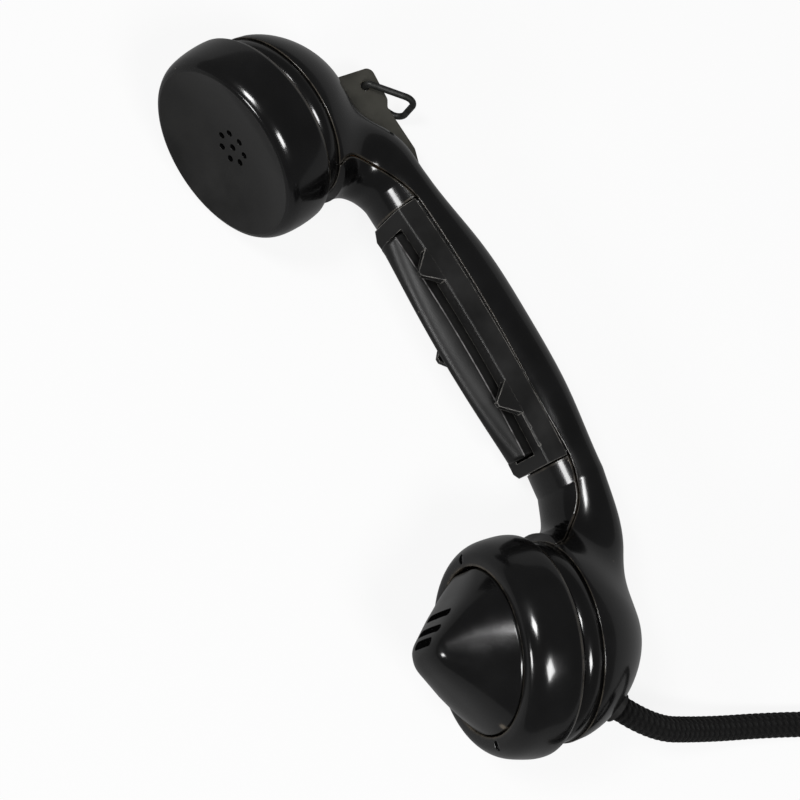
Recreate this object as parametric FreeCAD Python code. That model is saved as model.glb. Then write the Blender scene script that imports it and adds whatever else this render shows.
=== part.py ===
import FreeCAD, Part

import os
from math import acos, asin, cos, degrees, pi, radians, sin, tan

# Hand receiver of a field telephone: a moulded handle with an ear head and a mouth head,
# a press-to-talk key in its grip, a hanging lug with a wire ring, and a braided cord with a plug.
#
# Millimetres. The pieces are built upright in the handset's own frame: the origin is the centre
# of the ear cap's lip, X runs to the mouth head, +Y is the back of the grip, Z runs across the
# grip, and the handset is the same on both sides of Z = 0. The last step lays it on its side.

V = FreeCAD.Vector
ACROSS = V(0, 0, 1)

# ---- driving sizes: heads -------------------------------------------------------------------
head_spacing = 185.5        # between the centres of the two lips
ear_tilt = 13.1             # cap axes lean towards the mouth, degrees
mouth_tilt = 18.9           # and back towards the ear, degrees

ear_lip_r = 32.0            # widest circle of the ear cap
ear_lip_step = 2.8
ear_edge_r = ear_lip_r - ear_lip_step   # moulded head, at its open edge
ear_band = 7.5              # from the lip back to that edge
ear_dome = 26.0             # height of the domed back above the edge
ear_cap_depth = 16.5        # from the lip to the rim of the dished face
ear_rim = 3.4
ear_rim_r = ear_lip_r - ear_rim         # where the dish begins
ear_dish = 5.0              # how deep the dish is
ear_holes = 7               # in a circle round one more
ear_hole_r = 0.85
ear_hole_circle = 5.3
ear_first_hole = -21.7      # its angle from the line between the heads, degrees

mouth_lip_r = 33.65
mouth_lip_step = 1.75        # the lip stands proud of the moulded edge behind it
mouth_edge_r = mouth_lip_r - mouth_lip_step
mouth_band = 8.9
mouth_dome = 32.4
mouth_ring_depth = 16.2     # from the lip to the front of the ring
mouth_rim = 7.65             # width of the ring round the mouthpiece
insert_r = mouth_lip_r - mouth_rim      # seen circle of the mouthpiece inside the ring
snout_height = 22.6         # mouthpiece above the ring
collar_edge = 0.3           # ledge where the snout rises from its collar
snout_tip_across = 10.0     # half the width of its blunt tip
snout_tip_deep = 2.8

dome_power = 1.64           # 2 is an ellipse, less is nearer to a cone
band_step = 0.35            # the band stands this much inside the moulded edge
wall = 2.5                  # moulded walls
thread_fit = 0.2            # between a head's spigot and its cap
seam_gap = 0.3              # at the joints between mouldings
cup_wall = 3.3
lip_lead = 1.1              # rear of a cap behind its lip

# ---- driving sizes: grip ----------------------------------------------------------------------
neck_ear = 9.0              # radius of the hollow under the neck, at the ear head
neck_mouth = 11.2
neck_fillet = 6.0
grip_half_width = 15.0
arch_radius = 557.0         # the key frame follows this arch
arch_centre = V(126.2, -523.9, 0)
frame_start = 43.0
frame_end = 138.6
frame_height = 7.0          # from the seam to the top of the frame
frame_top_half = 11.0
frame_seam_half = 12.6
recess_half = 5.9
recess_start = 48.5
recess_end = 134.0
recess_depth = 8.2
frame_floor = 1.5
guard_height = 5.8          # pointed guards that keep the key from being pressed by a table
guard_base = 12.0
guard_tip = 1.6
guard_thickness = 3.0
guard_places = [(64.6, 1), (91.0, -1), (114.3, 1)]
frame_edge = 0.8            # rounding of its two long edges
tub_end = 3.0               # the tub under the recess stops this far inside the frame

# ---- driving sizes: key -------------------------------------------------------------------------
key_half_width = 5.0
key_edge = 3.1              # straight side above the frame's top
key_crown = 6.7             # rounded crown above that
key_bottom = 4.5            # below the frame's top
key_end_gap = 0.8
key_travel = 2.0            # degrees about its pin
pin_r = 1.25
pin_fit = 0.05
pin_length = 16.0
pin_x = 52.6
pin_depth = 2.4
crown_radius = 343.0        # lengthwise curve of the finger face
crown_centre = V(70.0, 364.5, 0)
plunger_x = 118.0
plunger_r = 2.4
plunger_room = 0.5          # round it, in the recess floor
spring_x = 88.0
spring_half_length = 14.0
spring_half_width = 2.5
spring_leaf = 0.35
spring_clearance = 0.1      # to the key it carries, at its crest
spring_seat = 0.03          # and from the recess floor to its ends

# ---- driving sizes: hanger ----------------------------------------------------------------------
lug_thickness = 3.0
lug_hole_r = 1.7
lug_hole = V(-3.3, 44.6, 0)
ring_wire_r = 1.15
ring_length = 17.5
ring_half_top = 3.6
ring_half_base = 7.0
ring_rest_angle = 45.0

# ---- driving sizes: cord ------------------------------------------------------------------------
cord_r = 4.25
gland_wall = 1.1
gland_length = 11.0
exit_beyond = 30.7            # where the cord leaves, beyond the centre of the mouth lip
exit_point = V(head_spacing + exit_beyond, 19.5, 0)
exit_direction = V(0.886, 0.463, 0).normalize()
cord_inside = 8.0           # of cord held in the bush
cord_straight = 13.0        # leaves the bush before it bends
# where it falls to the table and runs to its coil, in the frame of the handset as it lies
cord_route = [V(146, 35.5, 9.5), V(156, 57, cord_r), V(167, 79, cord_r), V(190, 88, cord_r),
              V(241, 76.2, cord_r)]
coil_turn_gap = 0.3
coil_mid_r = 42.5           # 10 cord diameters across at the middle of its turns
tie_width = 9.0
tie_thickness = 0.8

# ---- driving sizes: plug ------------------------------------------------------------------------
plug_r = 12.0
plug_ring_r = 13.2
plug_length = 26.0
plug_ring_length = 13.0
plug_relief = 12.0
tail_held = 4.0             # of cord inside the plug's body
plug_pin_r = 1.1
plug_pin_circle = 5.6
plug_reach = 20.8           # from the coil's middle to where the tail enters the plug
plug_beside = 5.7           # and from the middle to its line

# ---- how it lies ----------------------------------------------------------------------------------
lie_tilt = 22.95            # rolled back from lying square on its side, degrees
lie_roll = -1.04            # turned about its width so that both heads touch, degrees


bend_share = 0.45           # of the shorter run that an arc takes up


# ---- helpers ----------------------------------------------------------------------------------------
class Head:
    """One end of the handset. Places are given as n along the cap's axis from its lip, outwards,
    and u across it in the plane of symmetry, towards the other head."""

    def __init__(self, centre, axis, across):
        self.centre, self.axis, self.across = centre, axis, across

    def at(self, n, u, z=0.0):
        return self.centre + self.axis * n + self.across * u + ACROSS * z

    def turned(self, outline):
        """Solid turned about the axis from a closed outline of (n, radius[, corner radius])."""
        face = Part.Face(rounded_wire(outline, self.at))
        return face.revolve(self.centre, self.axis, 360)

    def drum(self, n_low, n_high, r, r_hole=0.0, u=0.0, z=0.0):
        """Round bar, or ring when it has a hole, between two heights."""
        foot = self.at(n_low, u, z)
        bar = Part.makeCylinder(r, n_high - n_low, foot, self.axis)
        if r_hole:
            bar = bar.cut(Part.makeCylinder(r_hole, n_high - n_low, foot, self.axis))
        return bar

    def block(self, n_low, n_high, u_low, u_high, half_z):
        """Box with its sides along the head's own directions."""
        corners = [self.at(n_low, u_low, -half_z), self.at(n_high, u_low, -half_z),
                   self.at(n_high, u_high, -half_z), self.at(n_low, u_high, -half_z)]
        return Part.Face(Part.makePolygon(corners + corners[:1])).extrude(ACROSS * 2 * half_z)


def rounded_wire(outline, place):
    """Closed wire of straight lines through (a, b[, corner radius]), corners rounded by arcs."""
    count = len(outline)
    edges, ends = [], []
    for i in range(count):
        here = V(*outline[i][:2], 0)
        radius = outline[i][2] if len(outline[i]) > 2 else 0
        back = (V(*outline[i - 1][:2], 0) - here).normalize()
        ahead = (V(*outline[(i + 1) % count][:2], 0) - here).normalize()
        if not radius:
            ends.append((here, here, None))
            continue
        half = acos(max(-1.0, min(1.0, back.dot(ahead)))) / 2
        reach = radius / tan(half)
        middle = here + (back + ahead).normalize() * (radius / sin(half) - radius)
        ends.append((here + back * reach, here + ahead * reach, middle))
    for i in range(count):
        start, stop, middle = ends[i]
        if middle:
            edges.append(Part.Arc(*[place(p.x, p.y) for p in (start, middle, stop)]).toShape())
        following = ends[(i + 1) % count][0]
        if (following - stop).Length > 1e-6:
            stretch = Part.LineSegment(place(stop.x, stop.y), place(following.x, following.y))
            edges.append(stretch.toShape())
    return Part.Wire(edges)


def flat(x, y):
    return V(x, y, 0)


def plate(outline, thickness):
    """Flat plate in the plane of symmetry, centred on it."""
    face = Part.Face(rounded_wire(outline, flat))
    face.translate(V(0, 0, -thickness / 2))
    return face.extrude(V(0, 0, thickness))


def arch_angle(x):
    return asin((x - arch_centre.x) / arch_radius)


def on_arch(x, depth, z=0.0):
    """Point at a station of the arch; depth is measured from the frame's top, into the grip."""
    angle = arch_angle(x)
    reach = arch_radius + depth
    return arch_centre + V(reach * sin(angle), reach * cos(angle), z)


def inward(x):
    """Direction from the fingers into the grip at a station of the arch."""
    return (on_arch(x, 1) - on_arch(x, 0)).normalize()


def arched(edges_at, x_start, x_end):
    """Section carried along the arch. edges_at(place) gives the closed wire at the first station."""
    wire = edges_at(lambda depth, z: on_arch(x_start, depth, z))
    turn = degrees(arch_angle(x_end) - arch_angle(x_start))
    return Part.Face(wire).revolve(arch_centre, V(0, 0, -1), turn)


def arched_bar(outline, x_start, x_end):
    """The same for a section given as (depth, z[, corner radius])."""
    return arched(lambda place: rounded_wire(outline, place), x_start, x_end)


def box_outline(depth_low, depth_high, half, corner=0.0):
    points = [(depth_low, -half), (depth_high, -half), (depth_high, half), (depth_low, half)]
    return [point + (corner,) for point in points] if corner else points


def bent_path(points):
    """Straight runs joined by arcs that touch both of their neighbours."""
    edges, here = [], points[0]
    for before, corner, after in zip(points, points[1:], points[2:]):
        back, ahead = before - corner, after - corner
        shorter = min(back.Length, ahead.Length)
        back.normalize()
        ahead.normalize()
        half_turn = (pi - back.getAngle(ahead)) / 2
        reach = bend_share * shorter
        radius = reach / tan(half_turn)
        middle = corner + (back + ahead).normalize() * (radius / cos(half_turn) - radius)
        start, stop = corner + back * reach, corner + ahead * reach
        edges.append(Part.LineSegment(here, start).toShape())
        edges.append(Part.Arc(start, middle, stop).toShape())
        here = stop
    edges.append(Part.LineSegment(here, points[-1]).toShape())
    return Part.Wire(edges)


def tube(points, r):
    """Round tube or wire along the bent path."""
    start = points[1] - points[0]
    section = Part.Wire([Part.Circle(points[0], start, r).toShape()])
    return bent_path(points).makePipeShell([section], True, False)


def upright(x, depth_low, depth_high, r, z=0.0):
    """Round bar that stands square to the arch."""
    return Part.makeCylinder(r, depth_high - depth_low, on_arch(x, depth_low, z), inward(x))


ear = Head(V(0, 0, 0), V(sin(radians(ear_tilt)), -cos(radians(ear_tilt)), 0),
           V(cos(radians(ear_tilt)), sin(radians(ear_tilt)), 0))
mouth = Head(V(head_spacing, 0, 0), V(-sin(radians(mouth_tilt)), -cos(radians(mouth_tilt)), 0),
             V(-cos(radians(mouth_tilt)), sin(radians(mouth_tilt)), 0))


# ---- moulded handle -----------------------------------------------------------------------------------
def dome(head, band, edge_r, height):
    """Domed back of a head: its radius at height m is edge_r * (1 - (m / height)**p)**(1 / p)."""
    steps = 9
    points = []
    for i in range(steps + 1):
        m = height * sin(pi / 2 * i / steps)
        r = edge_r * max(0.0, 1 - (m / height) ** dome_power) ** (1 / dome_power)
        points.append(head.at(-band - m, r))
    curve = Part.BSplineCurve()
    curve.interpolate(points)
    profile = Part.Wire([curve.toShape(),
                         Part.LineSegment(points[-1], head.at(-band, 0)).toShape(),
                         Part.LineSegment(head.at(-band, 0), points[0]).toShape()])
    return Part.Face(profile).revolve(head.centre, head.axis, 360)


def grip_sections():
    """Ellipses across the grip: they fan round the hollow of each neck and stand square between.
    Each is (where it is measured from, its direction, inner reach, outer reach, half width)."""
    hollow_ear = ear.at(-ear_band, ear_edge_r + neck_ear)
    hollow_mouth = mouth.at(-mouth_band, mouth_edge_r + neck_mouth)
    ear_fan = [(96, 10.4, 34.0, 13.6), (58, 8.0, 33.7, 14.0), (26, 7.9, 32.5, 14.3), (0, 10.0, 31.2, 14.8)]
    between = [(0.25, 11.0, 36.2, 15.0), (0.5, 13.5, 38.0, 15.0), (0.75, 15.0, 36.6, 15.2)]
    mouth_fan = [(0, 11.9, 31.5, 15.5), (27, 10.6, 31.5, 15.8), (65, 11.2, 39.6, 16.0),
                 (100, 12.6, 35.5, 15.6)]
    sections = []
    for angle, inner, outer, half in ear_fan:
        direction = V(-sin(radians(angle)), cos(radians(angle)), 0)
        sections.append((hollow_ear, direction, inner, outer, half))
    for share, inner, outer, half in between:
        start = hollow_ear + (hollow_mouth - hollow_ear) * share
        sections.append((start, V(0, 1, 0), inner, outer, half))
    for angle, inner, outer, half in mouth_fan:
        direction = V(sin(radians(angle)), cos(radians(angle)), 0)
        sections.append((hollow_mouth, direction, inner, outer, half))
    return sections


def grip():
    wires = []
    for start, direction, inner, outer, half in grip_sections():
        centre = start + direction * ((inner + outer) / 2)
        half = half * grip_half_width / 15.0
        ellipse = Part.Ellipse(centre + ACROSS * half, centre + direction * ((outer - inner) / 2), centre)
        wires.append(Part.Wire([ellipse.toShape()]))
    return Part.makeLoft(wires, True, False)


def outer_form():
    """Both domes and the grip in one, the grip running into each dome by a fillet."""
    form = dome(ear, ear_band, ear_edge_r, ear_dome).fuse(grip())
    form = form.fuse(dome(mouth, mouth_band, mouth_edge_r, mouth_dome))
    grip_face = max(form.Faces, key=lambda face: face.BoundBox.XLength)
    others = [edge for face in form.Faces if not face.isSame(grip_face) for edge in face.Edges]
    junctions = [edge for edge in grip_face.Edges if any(edge.isSame(other) for other in others)]
    return form.makeFillet(neck_fillet, junctions)


def offset_points(points, distance):
    """The points moved sideways off their own line, to its left."""
    moved = []
    for i, point in enumerate(points):
        before = points[max(i - 1, 0)]
        after = points[min(i + 1, len(points) - 1)]
        along = (after - before).normalize()
        moved.append(point + V(-along.y, along.x, 0) * distance)
    return moved


def neck_region(points, closing, gap):
    """Everything on the fingers' side of a neck's seam, as a block across the handset."""
    line = offset_points(points, gap)
    seam = Part.BSplineCurve()
    seam.interpolate(line)
    corners = [line[-1]] + closing + [line[0]]
    edges = [seam.toShape()]
    edges += [Part.LineSegment(a, b).toShape() for a, b in zip(corners, corners[1:])]
    return Part.Face(Part.Wire(edges)).extrude(V(0, 0, 70)).translated(V(0, 0, -35))


def ear_neck_region(gap):
    foot = -ear_band - seam_gap + gap
    points = [ear.at(foot, ear_cup_r + 1.2), ear.at(foot - 6.0, ear_cup_r + 1.8),
              V(31.0, 29.2, 0),
              on_arch(frame_start - seam_gap + gap, frame_height)]
    closing = [on_arch(frame_start - seam_gap + gap, -12), ear.at(foot, 46.0)]
    return neck_region(points, closing, gap)


def mouth_neck_region(gap):
    foot = -mouth_band - seam_gap + gap
    points = [on_arch(frame_end + seam_gap - gap, frame_height), V(head_spacing - 36.5, 38.0, 0),
              V(head_spacing - 29.5, 34.0, 0), V(head_spacing - 25.1, 28.4, 0),
              mouth.at(foot, mouth_cup_r + 1.2)]
    closing = [mouth.at(foot, 46.0), on_arch(frame_end + seam_gap - gap, -12)]
    return neck_region(points, closing, gap)


def head_end(head, band, edge_r, spigot_r, spigot_top, cup_r, cup_floor):
    """Band, spigot and cup that a cap and its capsule go on and into: what is added, what is cut."""
    added = head.drum(-band - 1.0, -lip_lead - seam_gap, edge_r - band_step)
    added = added.fuse(head.drum(-lip_lead - 1.0, spigot_top, spigot_r))
    return added, head.drum(cup_floor, spigot_top + 1.0, cup_r)


ear_spigot_r = ear_edge_r - 1.3
ear_spigot_top = 4.5
ear_cup_r = ear_spigot_r - cup_wall
ear_cup_floor = -14.0
mouth_spigot_r = mouth_edge_r - 2.0
mouth_spigot_top = 5.0
mouth_cup_r = mouth_spigot_r - cup_wall
mouth_cup_floor = -14.0
channel_half = 7.2
channel_depth = 16.5
wire_bore_r = 3.2


def wire_ways():
    """Middle lines of the two wire ways, from the channel under the key into the cups."""
    ear_way = [on_arch(frame_start + 6, 13.0), V(30.0, 38.0, 0), ear.at(ear_cup_floor + 1.2, 7.0)]
    mouth_way = [on_arch(frame_end - 6, 12.5), V(head_spacing - 28.5, 41.5, 0),
                 mouth.at(mouth_cup_floor + 1.2, 9.0)]
    return ear_way, mouth_way


def handle_body(form):
    ear_add, ear_cut = head_end(ear, ear_band, ear_edge_r, ear_spigot_r, ear_spigot_top,
                                ear_cup_r, ear_cup_floor)
    mouth_add, mouth_cut = head_end(mouth, mouth_band, mouth_edge_r, mouth_spigot_r, mouth_spigot_top,
                                    mouth_cup_r, mouth_cup_floor)
    body = form.fuse([ear_add, mouth_add])
    channel = arched_bar(box_outline(frame_height - 1, channel_depth, channel_half, 1.5),
                         frame_start + 1, frame_end - 1)
    seat = arched_bar(box_outline(-14, frame_height + seam_gap, 30), frame_start - 0.5, frame_end + 0.5)
    bore = Part.makeCylinder(cord_r + gland_wall + 0.05, 30, exit_point - exit_direction * 24, exit_direction)
    cuts = [ear_cut, mouth_cut, seat, channel, bore, lug_blank()]
    cuts += [ear_neck_region(seam_gap), mouth_neck_region(seam_gap)]
    cuts += [tube(way, wire_bore_r) for way in wire_ways()]
    cuts += frame_screw_holes()
    return body.cut(cuts)


def neck_covers(form):
    return form.common(ear_neck_region(0)), form.common(mouth_neck_region(0))


# ---- key frame and key ----------------------------------------------------------------------------------
frame_screws = [56.0, 127.0]
screw_r = 1.5
screw_head_r = 2.6
screw_head = 1.4
screw_length = 9.0
side_slope = (frame_seam_half - frame_top_half) / frame_height


def frame_screw_holes():
    return [upright(x, recess_depth, recess_depth + frame_floor + screw_length + 1, screw_r)
            for x in frame_screws]


def guards():
    """Pointed guards: slices of the frame's own side, carried up to a blunt point."""
    teeth = []
    top_half = frame_top_half - side_slope * (guard_height + 0.5)
    for x, side in guard_places:
        section = [(-guard_height - 0.5, side * top_half), (0.5, side * (frame_top_half + side_slope * 0.5)),
                   (0.5, side * (frame_top_half - guard_thickness)),
                   (-guard_height - 0.5, side * (frame_top_half - guard_thickness))]
        strip = arched_bar(section, x - guard_base, x + guard_base)
        foot, tip = on_arch(x, 0), on_arch(x, -guard_height)
        along = V(inward(x).y, -inward(x).x, 0)
        corners = [foot - along * guard_base / 2, tip - along * guard_tip / 2,
                   tip + along * guard_tip / 2, foot + along * guard_base / 2,
                   foot + along * guard_base / 2 + inward(x), foot - along * guard_base / 2 + inward(x)]
        corners = [corner + V(0, 0, -20) for corner in corners]
        wedge = Part.Face(Part.makePolygon(corners + corners[:1])).extrude(V(0, 0, 40))
        teeth.append(strip.common(wedge))
    return teeth


def key_frame():
    side = [(0, -frame_top_half, frame_edge), (frame_height, -frame_seam_half),
            (frame_height, frame_seam_half), (0, frame_top_half, frame_edge)]
    frame = arched_bar(side, frame_start, frame_end)
    tub = arched_bar(box_outline(frame_height - 1, recess_depth + frame_floor, channel_half - 0.2),
                     frame_start + tub_end, frame_end - tub_end)
    frame = frame.fuse([tub] + guards())
    recess = arched_bar(box_outline(-guard_height - 2, recess_depth, recess_half), recess_start, recess_end)
    pin_start = on_arch(pin_x, pin_depth, -pin_length / 2 - 0.2)
    pin_hole = Part.makeCylinder(pin_r + 0.02, pin_length + 0.4, pin_start, ACROSS)
    plunger_hole = upright(plunger_x, recess_depth - 1, recess_depth + frame_floor + 1,
                           plunger_r + plunger_room)
    holes = [upright(x, recess_depth - 1, recess_depth + 4, screw_r) for x in frame_screws]
    holes.append(plunger_hole)
    return frame.cut([recess, pin_hole] + holes)


def key_section(place):
    """Section of the key: straight sides with half an ellipse for a crown."""
    left, right = place(-key_edge, -key_half_width), place(-key_edge, key_half_width)
    foot_left, foot_right = place(key_bottom, -key_half_width), place(key_bottom, key_half_width)
    centre = place(-key_edge, 0)
    crest = place(-key_edge - key_crown, 0)
    ellipse = Part.Ellipse(crest, right, centre)
    crown = Part.ArcOfEllipse(ellipse, -pi / 2, pi / 2).toShape()
    start, end = crown.Vertexes[0].Point, crown.Vertexes[1].Point
    if (start - left).Length > (start - right).Length:
        left, right, foot_left, foot_right = right, left, foot_right, foot_left
    return Part.Wire([crown, Part.LineSegment(end, foot_right).toShape(),
                      Part.LineSegment(foot_right, foot_left).toShape(),
                      Part.LineSegment(foot_left, start).toShape()])


def talk_key():
    bar = arched(key_section, recess_start + key_end_gap, recess_end - key_end_gap)
    bar = bar.common(Part.makeCylinder(crown_radius, 40, crown_centre - V(0, 0, 20)))
    bar = bar.fuse(upright(plunger_x, key_bottom - 1, recess_depth + frame_floor - 0.1, plunger_r))
    pin_hole = Part.makeCylinder(pin_r + pin_fit, 30, on_arch(pin_x, pin_depth, -15), ACROSS)
    screw_room = [upright(x, key_bottom - 1.2, key_bottom + 1, screw_head_r + 0.6) for x in frame_screws]
    return bar.cut([pin_hole] + screw_room)


def key_pin():
    return Part.makeCylinder(pin_r, pin_length, on_arch(pin_x, pin_depth, -pin_length / 2), ACROSS)


def key_spring():
    """Bowed leaf that lies on the recess floor by its two ends and carries the key at its crest: its
    height at a share s of its half length is rise * (1 - s**2)**2."""
    rise = recess_depth - key_bottom - spring_leaf - spring_clearance - spring_seat
    lower = []
    for i in range(-4, 5):
        share = i / 4
        height = spring_seat + rise * (1 - share ** 2) ** 2
        lower.append(on_arch(spring_x + share * spring_half_length, recess_depth - height))
    upper = [point - inward(spring_x) * spring_leaf for point in lower]
    edges = []
    for line in (lower, upper):
        curve = Part.BSplineCurve()
        curve.interpolate(line)
        edges.append(curve.toShape())
    edges += [Part.LineSegment(a, b).toShape() for a, b in ((lower[0], upper[0]), (lower[-1], upper[-1]))]
    outline = Part.Wire(Part.__sortEdges__(edges))
    outline.translate(V(0, 0, -spring_half_width))
    return Part.Face(outline).extrude(V(0, 0, 2 * spring_half_width))


def frame_screws_group():
    screws = []
    for x in frame_screws:
        top = recess_depth - screw_head
        head = upright(x, top, recess_depth - 0.03, screw_head_r)
        shank = upright(x, recess_depth - 0.1, recess_depth + frame_floor + screw_length, screw_r - 0.05)
        slot = arched_bar(box_outline(top - 1, top + 0.6, screw_head_r + 1), x - 0.3, x + 0.3)
        screws.append(head.fuse(shank).cut(slot))
    return Part.makeCompound(screws)


# ---- talk contacts under the key ----------------------------------------------------------------------
stack_x = 105.0
stack_half = 4.0
stack_top = recess_depth + frame_floor
stack_seat = 0.5
contact_gap = 1.7
stack_cap = 1.2
stack_screws = [-1.8, 1.8]
leaf_reach = 16.0
leaf_half = 2.2
leaf_thickness = 0.3


def slab(x, depth_low, depth_high, back, ahead, half):
    """Flat block whose top stands square to the arch at a station, reaching back and ahead of it."""
    down = inward(x)
    along = V(down.y, -down.x, 0)
    foot = on_arch(x, 0)
    corners = [foot + down * depth + along * reach + V(0, 0, -half)
               for depth, reach in ((depth_low, -back), (depth_low, ahead), (depth_high, ahead),
                                    (depth_high, -back))]
    return Part.Face(Part.makePolygon(corners + corners[:1])).extrude(V(0, 0, 2 * half))


def stack_bar(reach, depth_low, depth_high, r):
    """Round bar through the stack, beside its station."""
    down = inward(stack_x)
    foot = on_arch(stack_x, 0) + V(down.y, -down.x, 0) * reach + down * depth_low
    return Part.makeCylinder(r, depth_high - depth_low, foot, down)


def contacts():
    """Leaves from the plunger's side to the back, the insulating strips that clamp them, and screws."""
    levels = [stack_top + stack_seat + contact_gap * i for i in range(3)]
    holes = [stack_bar(reach, stack_top - 1, stack_top + 9, 0.8) for reach in stack_screws]
    leaves, spacers, screws = [], [], []
    for level in levels:
        leaf = slab(stack_x, level, level + leaf_thickness, stack_half + 3, leaf_reach, leaf_half)
        if level != levels[-1]:
            leaf = leaf.fuse(stack_bar(leaf_reach - 2, level + leaf_thickness,
                                       level + leaf_thickness + 0.25, 0.9))
        leaves.append(leaf.cut(holes))
    faces = [stack_top] + levels
    for i, top in enumerate(faces):
        low = top + (leaf_thickness if i else 0.05)
        high = faces[i + 1] if i + 1 < len(faces) else low + stack_cap
        block = slab(stack_x, low, high, stack_half, stack_half, leaf_half + 0.8)
        spacers.append(block.cut(holes))
    end = levels[-1] + leaf_thickness + stack_cap
    for reach in stack_screws:
        shank = stack_bar(reach, stack_top + 0.05, end, 0.75)
        screws.append(shank.fuse(stack_bar(reach, end, end + 0.5, 1.3)))
    return leaves, spacers, screws


# ---- ear head ---------------------------------------------------------------------------------------------
capsule_floor = -11.0
flange = 1.2
felt = 0.6


def ear_cap():
    bore = ear_spigot_r + thread_fit
    ledge = ear_spigot_top + flange + felt
    outline = [(-lip_lead, bore), (-lip_lead, ear_lip_r - 0.9, 0.3), (0, ear_lip_r, 0.5),
               (ear_cap_depth - 4.0, ear_lip_r - 0.15, 5.0), (ear_cap_depth + 0.6, ear_rim_r + 1.2, 2.2),
               (ear_cap_depth - 0.2, ear_rim_r - 1.0), (ear_cap_depth - 0.2, 0),
               (ear_cap_depth - ear_dish - 2.6, 0), (ear_cap_depth - ear_dish - 2.6, ear_cup_r - 0.6),
               (ledge, ear_cup_r - 0.6), (ledge, bore)]
    cap = ear.turned(outline)
    dish_r = (ear_rim_r ** 2 + ear_dish ** 2) / (2 * ear_dish)
    dish = Part.makeSphere(dish_r, ear.at(ear_cap_depth - ear_dish + dish_r, 0))
    holes = [ear.drum(0, 20, ear_hole_r)]
    for i in range(ear_holes):
        angle = radians(ear_first_hole + i * 360 / ear_holes)
        u, z = ear_hole_circle * cos(angle), ear_hole_circle * sin(angle)
        holes.append(ear.drum(0, 20, ear_hole_r, u=u, z=z))
    return cap.cut([dish] + holes)


def receiver_pieces():
    rim_r = ear_spigot_r - 0.4
    case_r = ear_cup_r - 0.3
    top = ear_spigot_top + flange
    case = ear.drum(ear_spigot_top, top, rim_r).fuse(ear.drum(capsule_floor, ear_spigot_top, case_r))
    case = case.cut(ear.drum(capsule_floor + 1.0, top + 1, case_r - 1.0))
    diaphragm = ear.drum(top, top + 0.3, case_r - 0.2)
    felt_ring = ear.drum(top, top + felt, rim_r, case_r)
    yoke = ear.drum(capsule_floor + 1.0, capsule_floor + 5.0, 15.0)
    poles = [ear.block(capsule_floor + 5.0, top - 0.6, u - 1.5, u + 1.5, 4.0) for u in (-5.0, 5.0)]
    magnet = yoke.fuse(poles)
    coils = []
    for u in (-5.0, 5.0):
        bobbin = ear.block(capsule_floor + 5.0, top - 3.0, u - 3.6, u + 3.6, 6.2)
        coils.append(bobbin.cut(ear.block(capsule_floor + 4.0, top, u - 1.5, u + 1.5, 4.0)))
    return {"receiver_case": case, "receiver_diaphragm": diaphragm, "receiver_felt_ring": felt_ring,
            "receiver_magnet": magnet, "receiver_coils": Part.makeCompound(coils)}


def cup_springs(head, cup_floor, capsule, reach):
    """Two bent strips on the floor of a cup that press on the back of the capsule, and their screws.
    They are drawn along the plane of symmetry and then turned to stand across it."""
    springs, screws = [], []
    gap = capsule - cup_floor
    for side in (-1, 1):
        foot = head.block(cup_floor, cup_floor + 0.4, side * reach - 3, side * reach + 3, 2.0)
        riser = head.block(cup_floor + 0.4, capsule, side * (reach - 3) - 0.4, side * (reach - 3) + 0.4, 2.0)
        tab_low, tab_high = sorted((side * (reach - 3), side * (reach - 8)))
        tab = head.block(capsule - 0.4, capsule, tab_low, tab_high, 2.0)
        hole = head.drum(cup_floor - 5, cup_floor + 1, 1.0, u=side * (reach + 0.8))
        springs.append(foot.fuse([riser, tab]).cut(hole))
        shank = head.drum(cup_floor - 4, cup_floor + 0.4, 0.95, u=side * (reach + 0.8))
        cheese = head.drum(cup_floor + 0.4, cup_floor + min(1.4, gap - 1), 1.8, u=side * (reach + 0.8))
        screws.append(shank.fuse(cheese))
    for piece in springs + screws:
        piece.rotate(head.centre, head.axis, 90)
    return springs, screws


def cup_screw_holes(head, cup_floor, reach):
    return [head.drum(cup_floor - 4.5, cup_floor + 1, 1.0, z=side * (reach + 0.8)) for side in (-1, 1)]


ear_spring_reach = 16.0
mouth_spring_reach = 17.0


# ---- mouth head -------------------------------------------------------------------------------------------
mic_flange_top = mouth_spigot_top + flange
insert_flange_r = insert_r + 2.6
insert_flange_low = 10.8
insert_flange_top = 13.0


def mouth_ring():
    bore = mouth_spigot_r + thread_fit
    inner = insert_flange_r + 0.3
    front = mouth_ring_depth
    outline = [(-lip_lead, bore), (-lip_lead, mouth_lip_r - 0.9, 0.3), (0, mouth_lip_r, 0.5),
               (front - 4.6, mouth_lip_r - 0.3, 7.0), (front, mouth_lip_r - 4.2, 1.6),
               (front, insert_r + 0.15), (insert_flange_top, insert_r + 0.15),
               (insert_flange_top, inner), (mic_flange_top + felt, inner), (mic_flange_top + felt, bore)]
    ring = mouth.turned(outline)
    notches = []
    for side in (-1, 1):
        low, high = sorted((side * (insert_r + 1.6), side * (insert_r + 4.4)))
        notches.append(mouth.block(front - 1.0, front + 1, low, high, 0.6))
    return ring.cut(notches)


def oval(head, n, across_z, across_u):
    centre = head.at(n, 0)
    return Part.Wire([Part.Ellipse(centre + ACROSS * across_z, head.at(n, across_u), centre).toShape()])


face_low = (mouth_ring_depth + 0.3, insert_r - 1.6)     # slotted face: its foot as (n, u)
face_high = (38.2, 2.0)                                 # and the edge at the tip
slot_places = [13.2, 19.7, 26.2]
slot_halves = [8.0, 8.0, 6.2]
slot_width = 2.5


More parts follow.
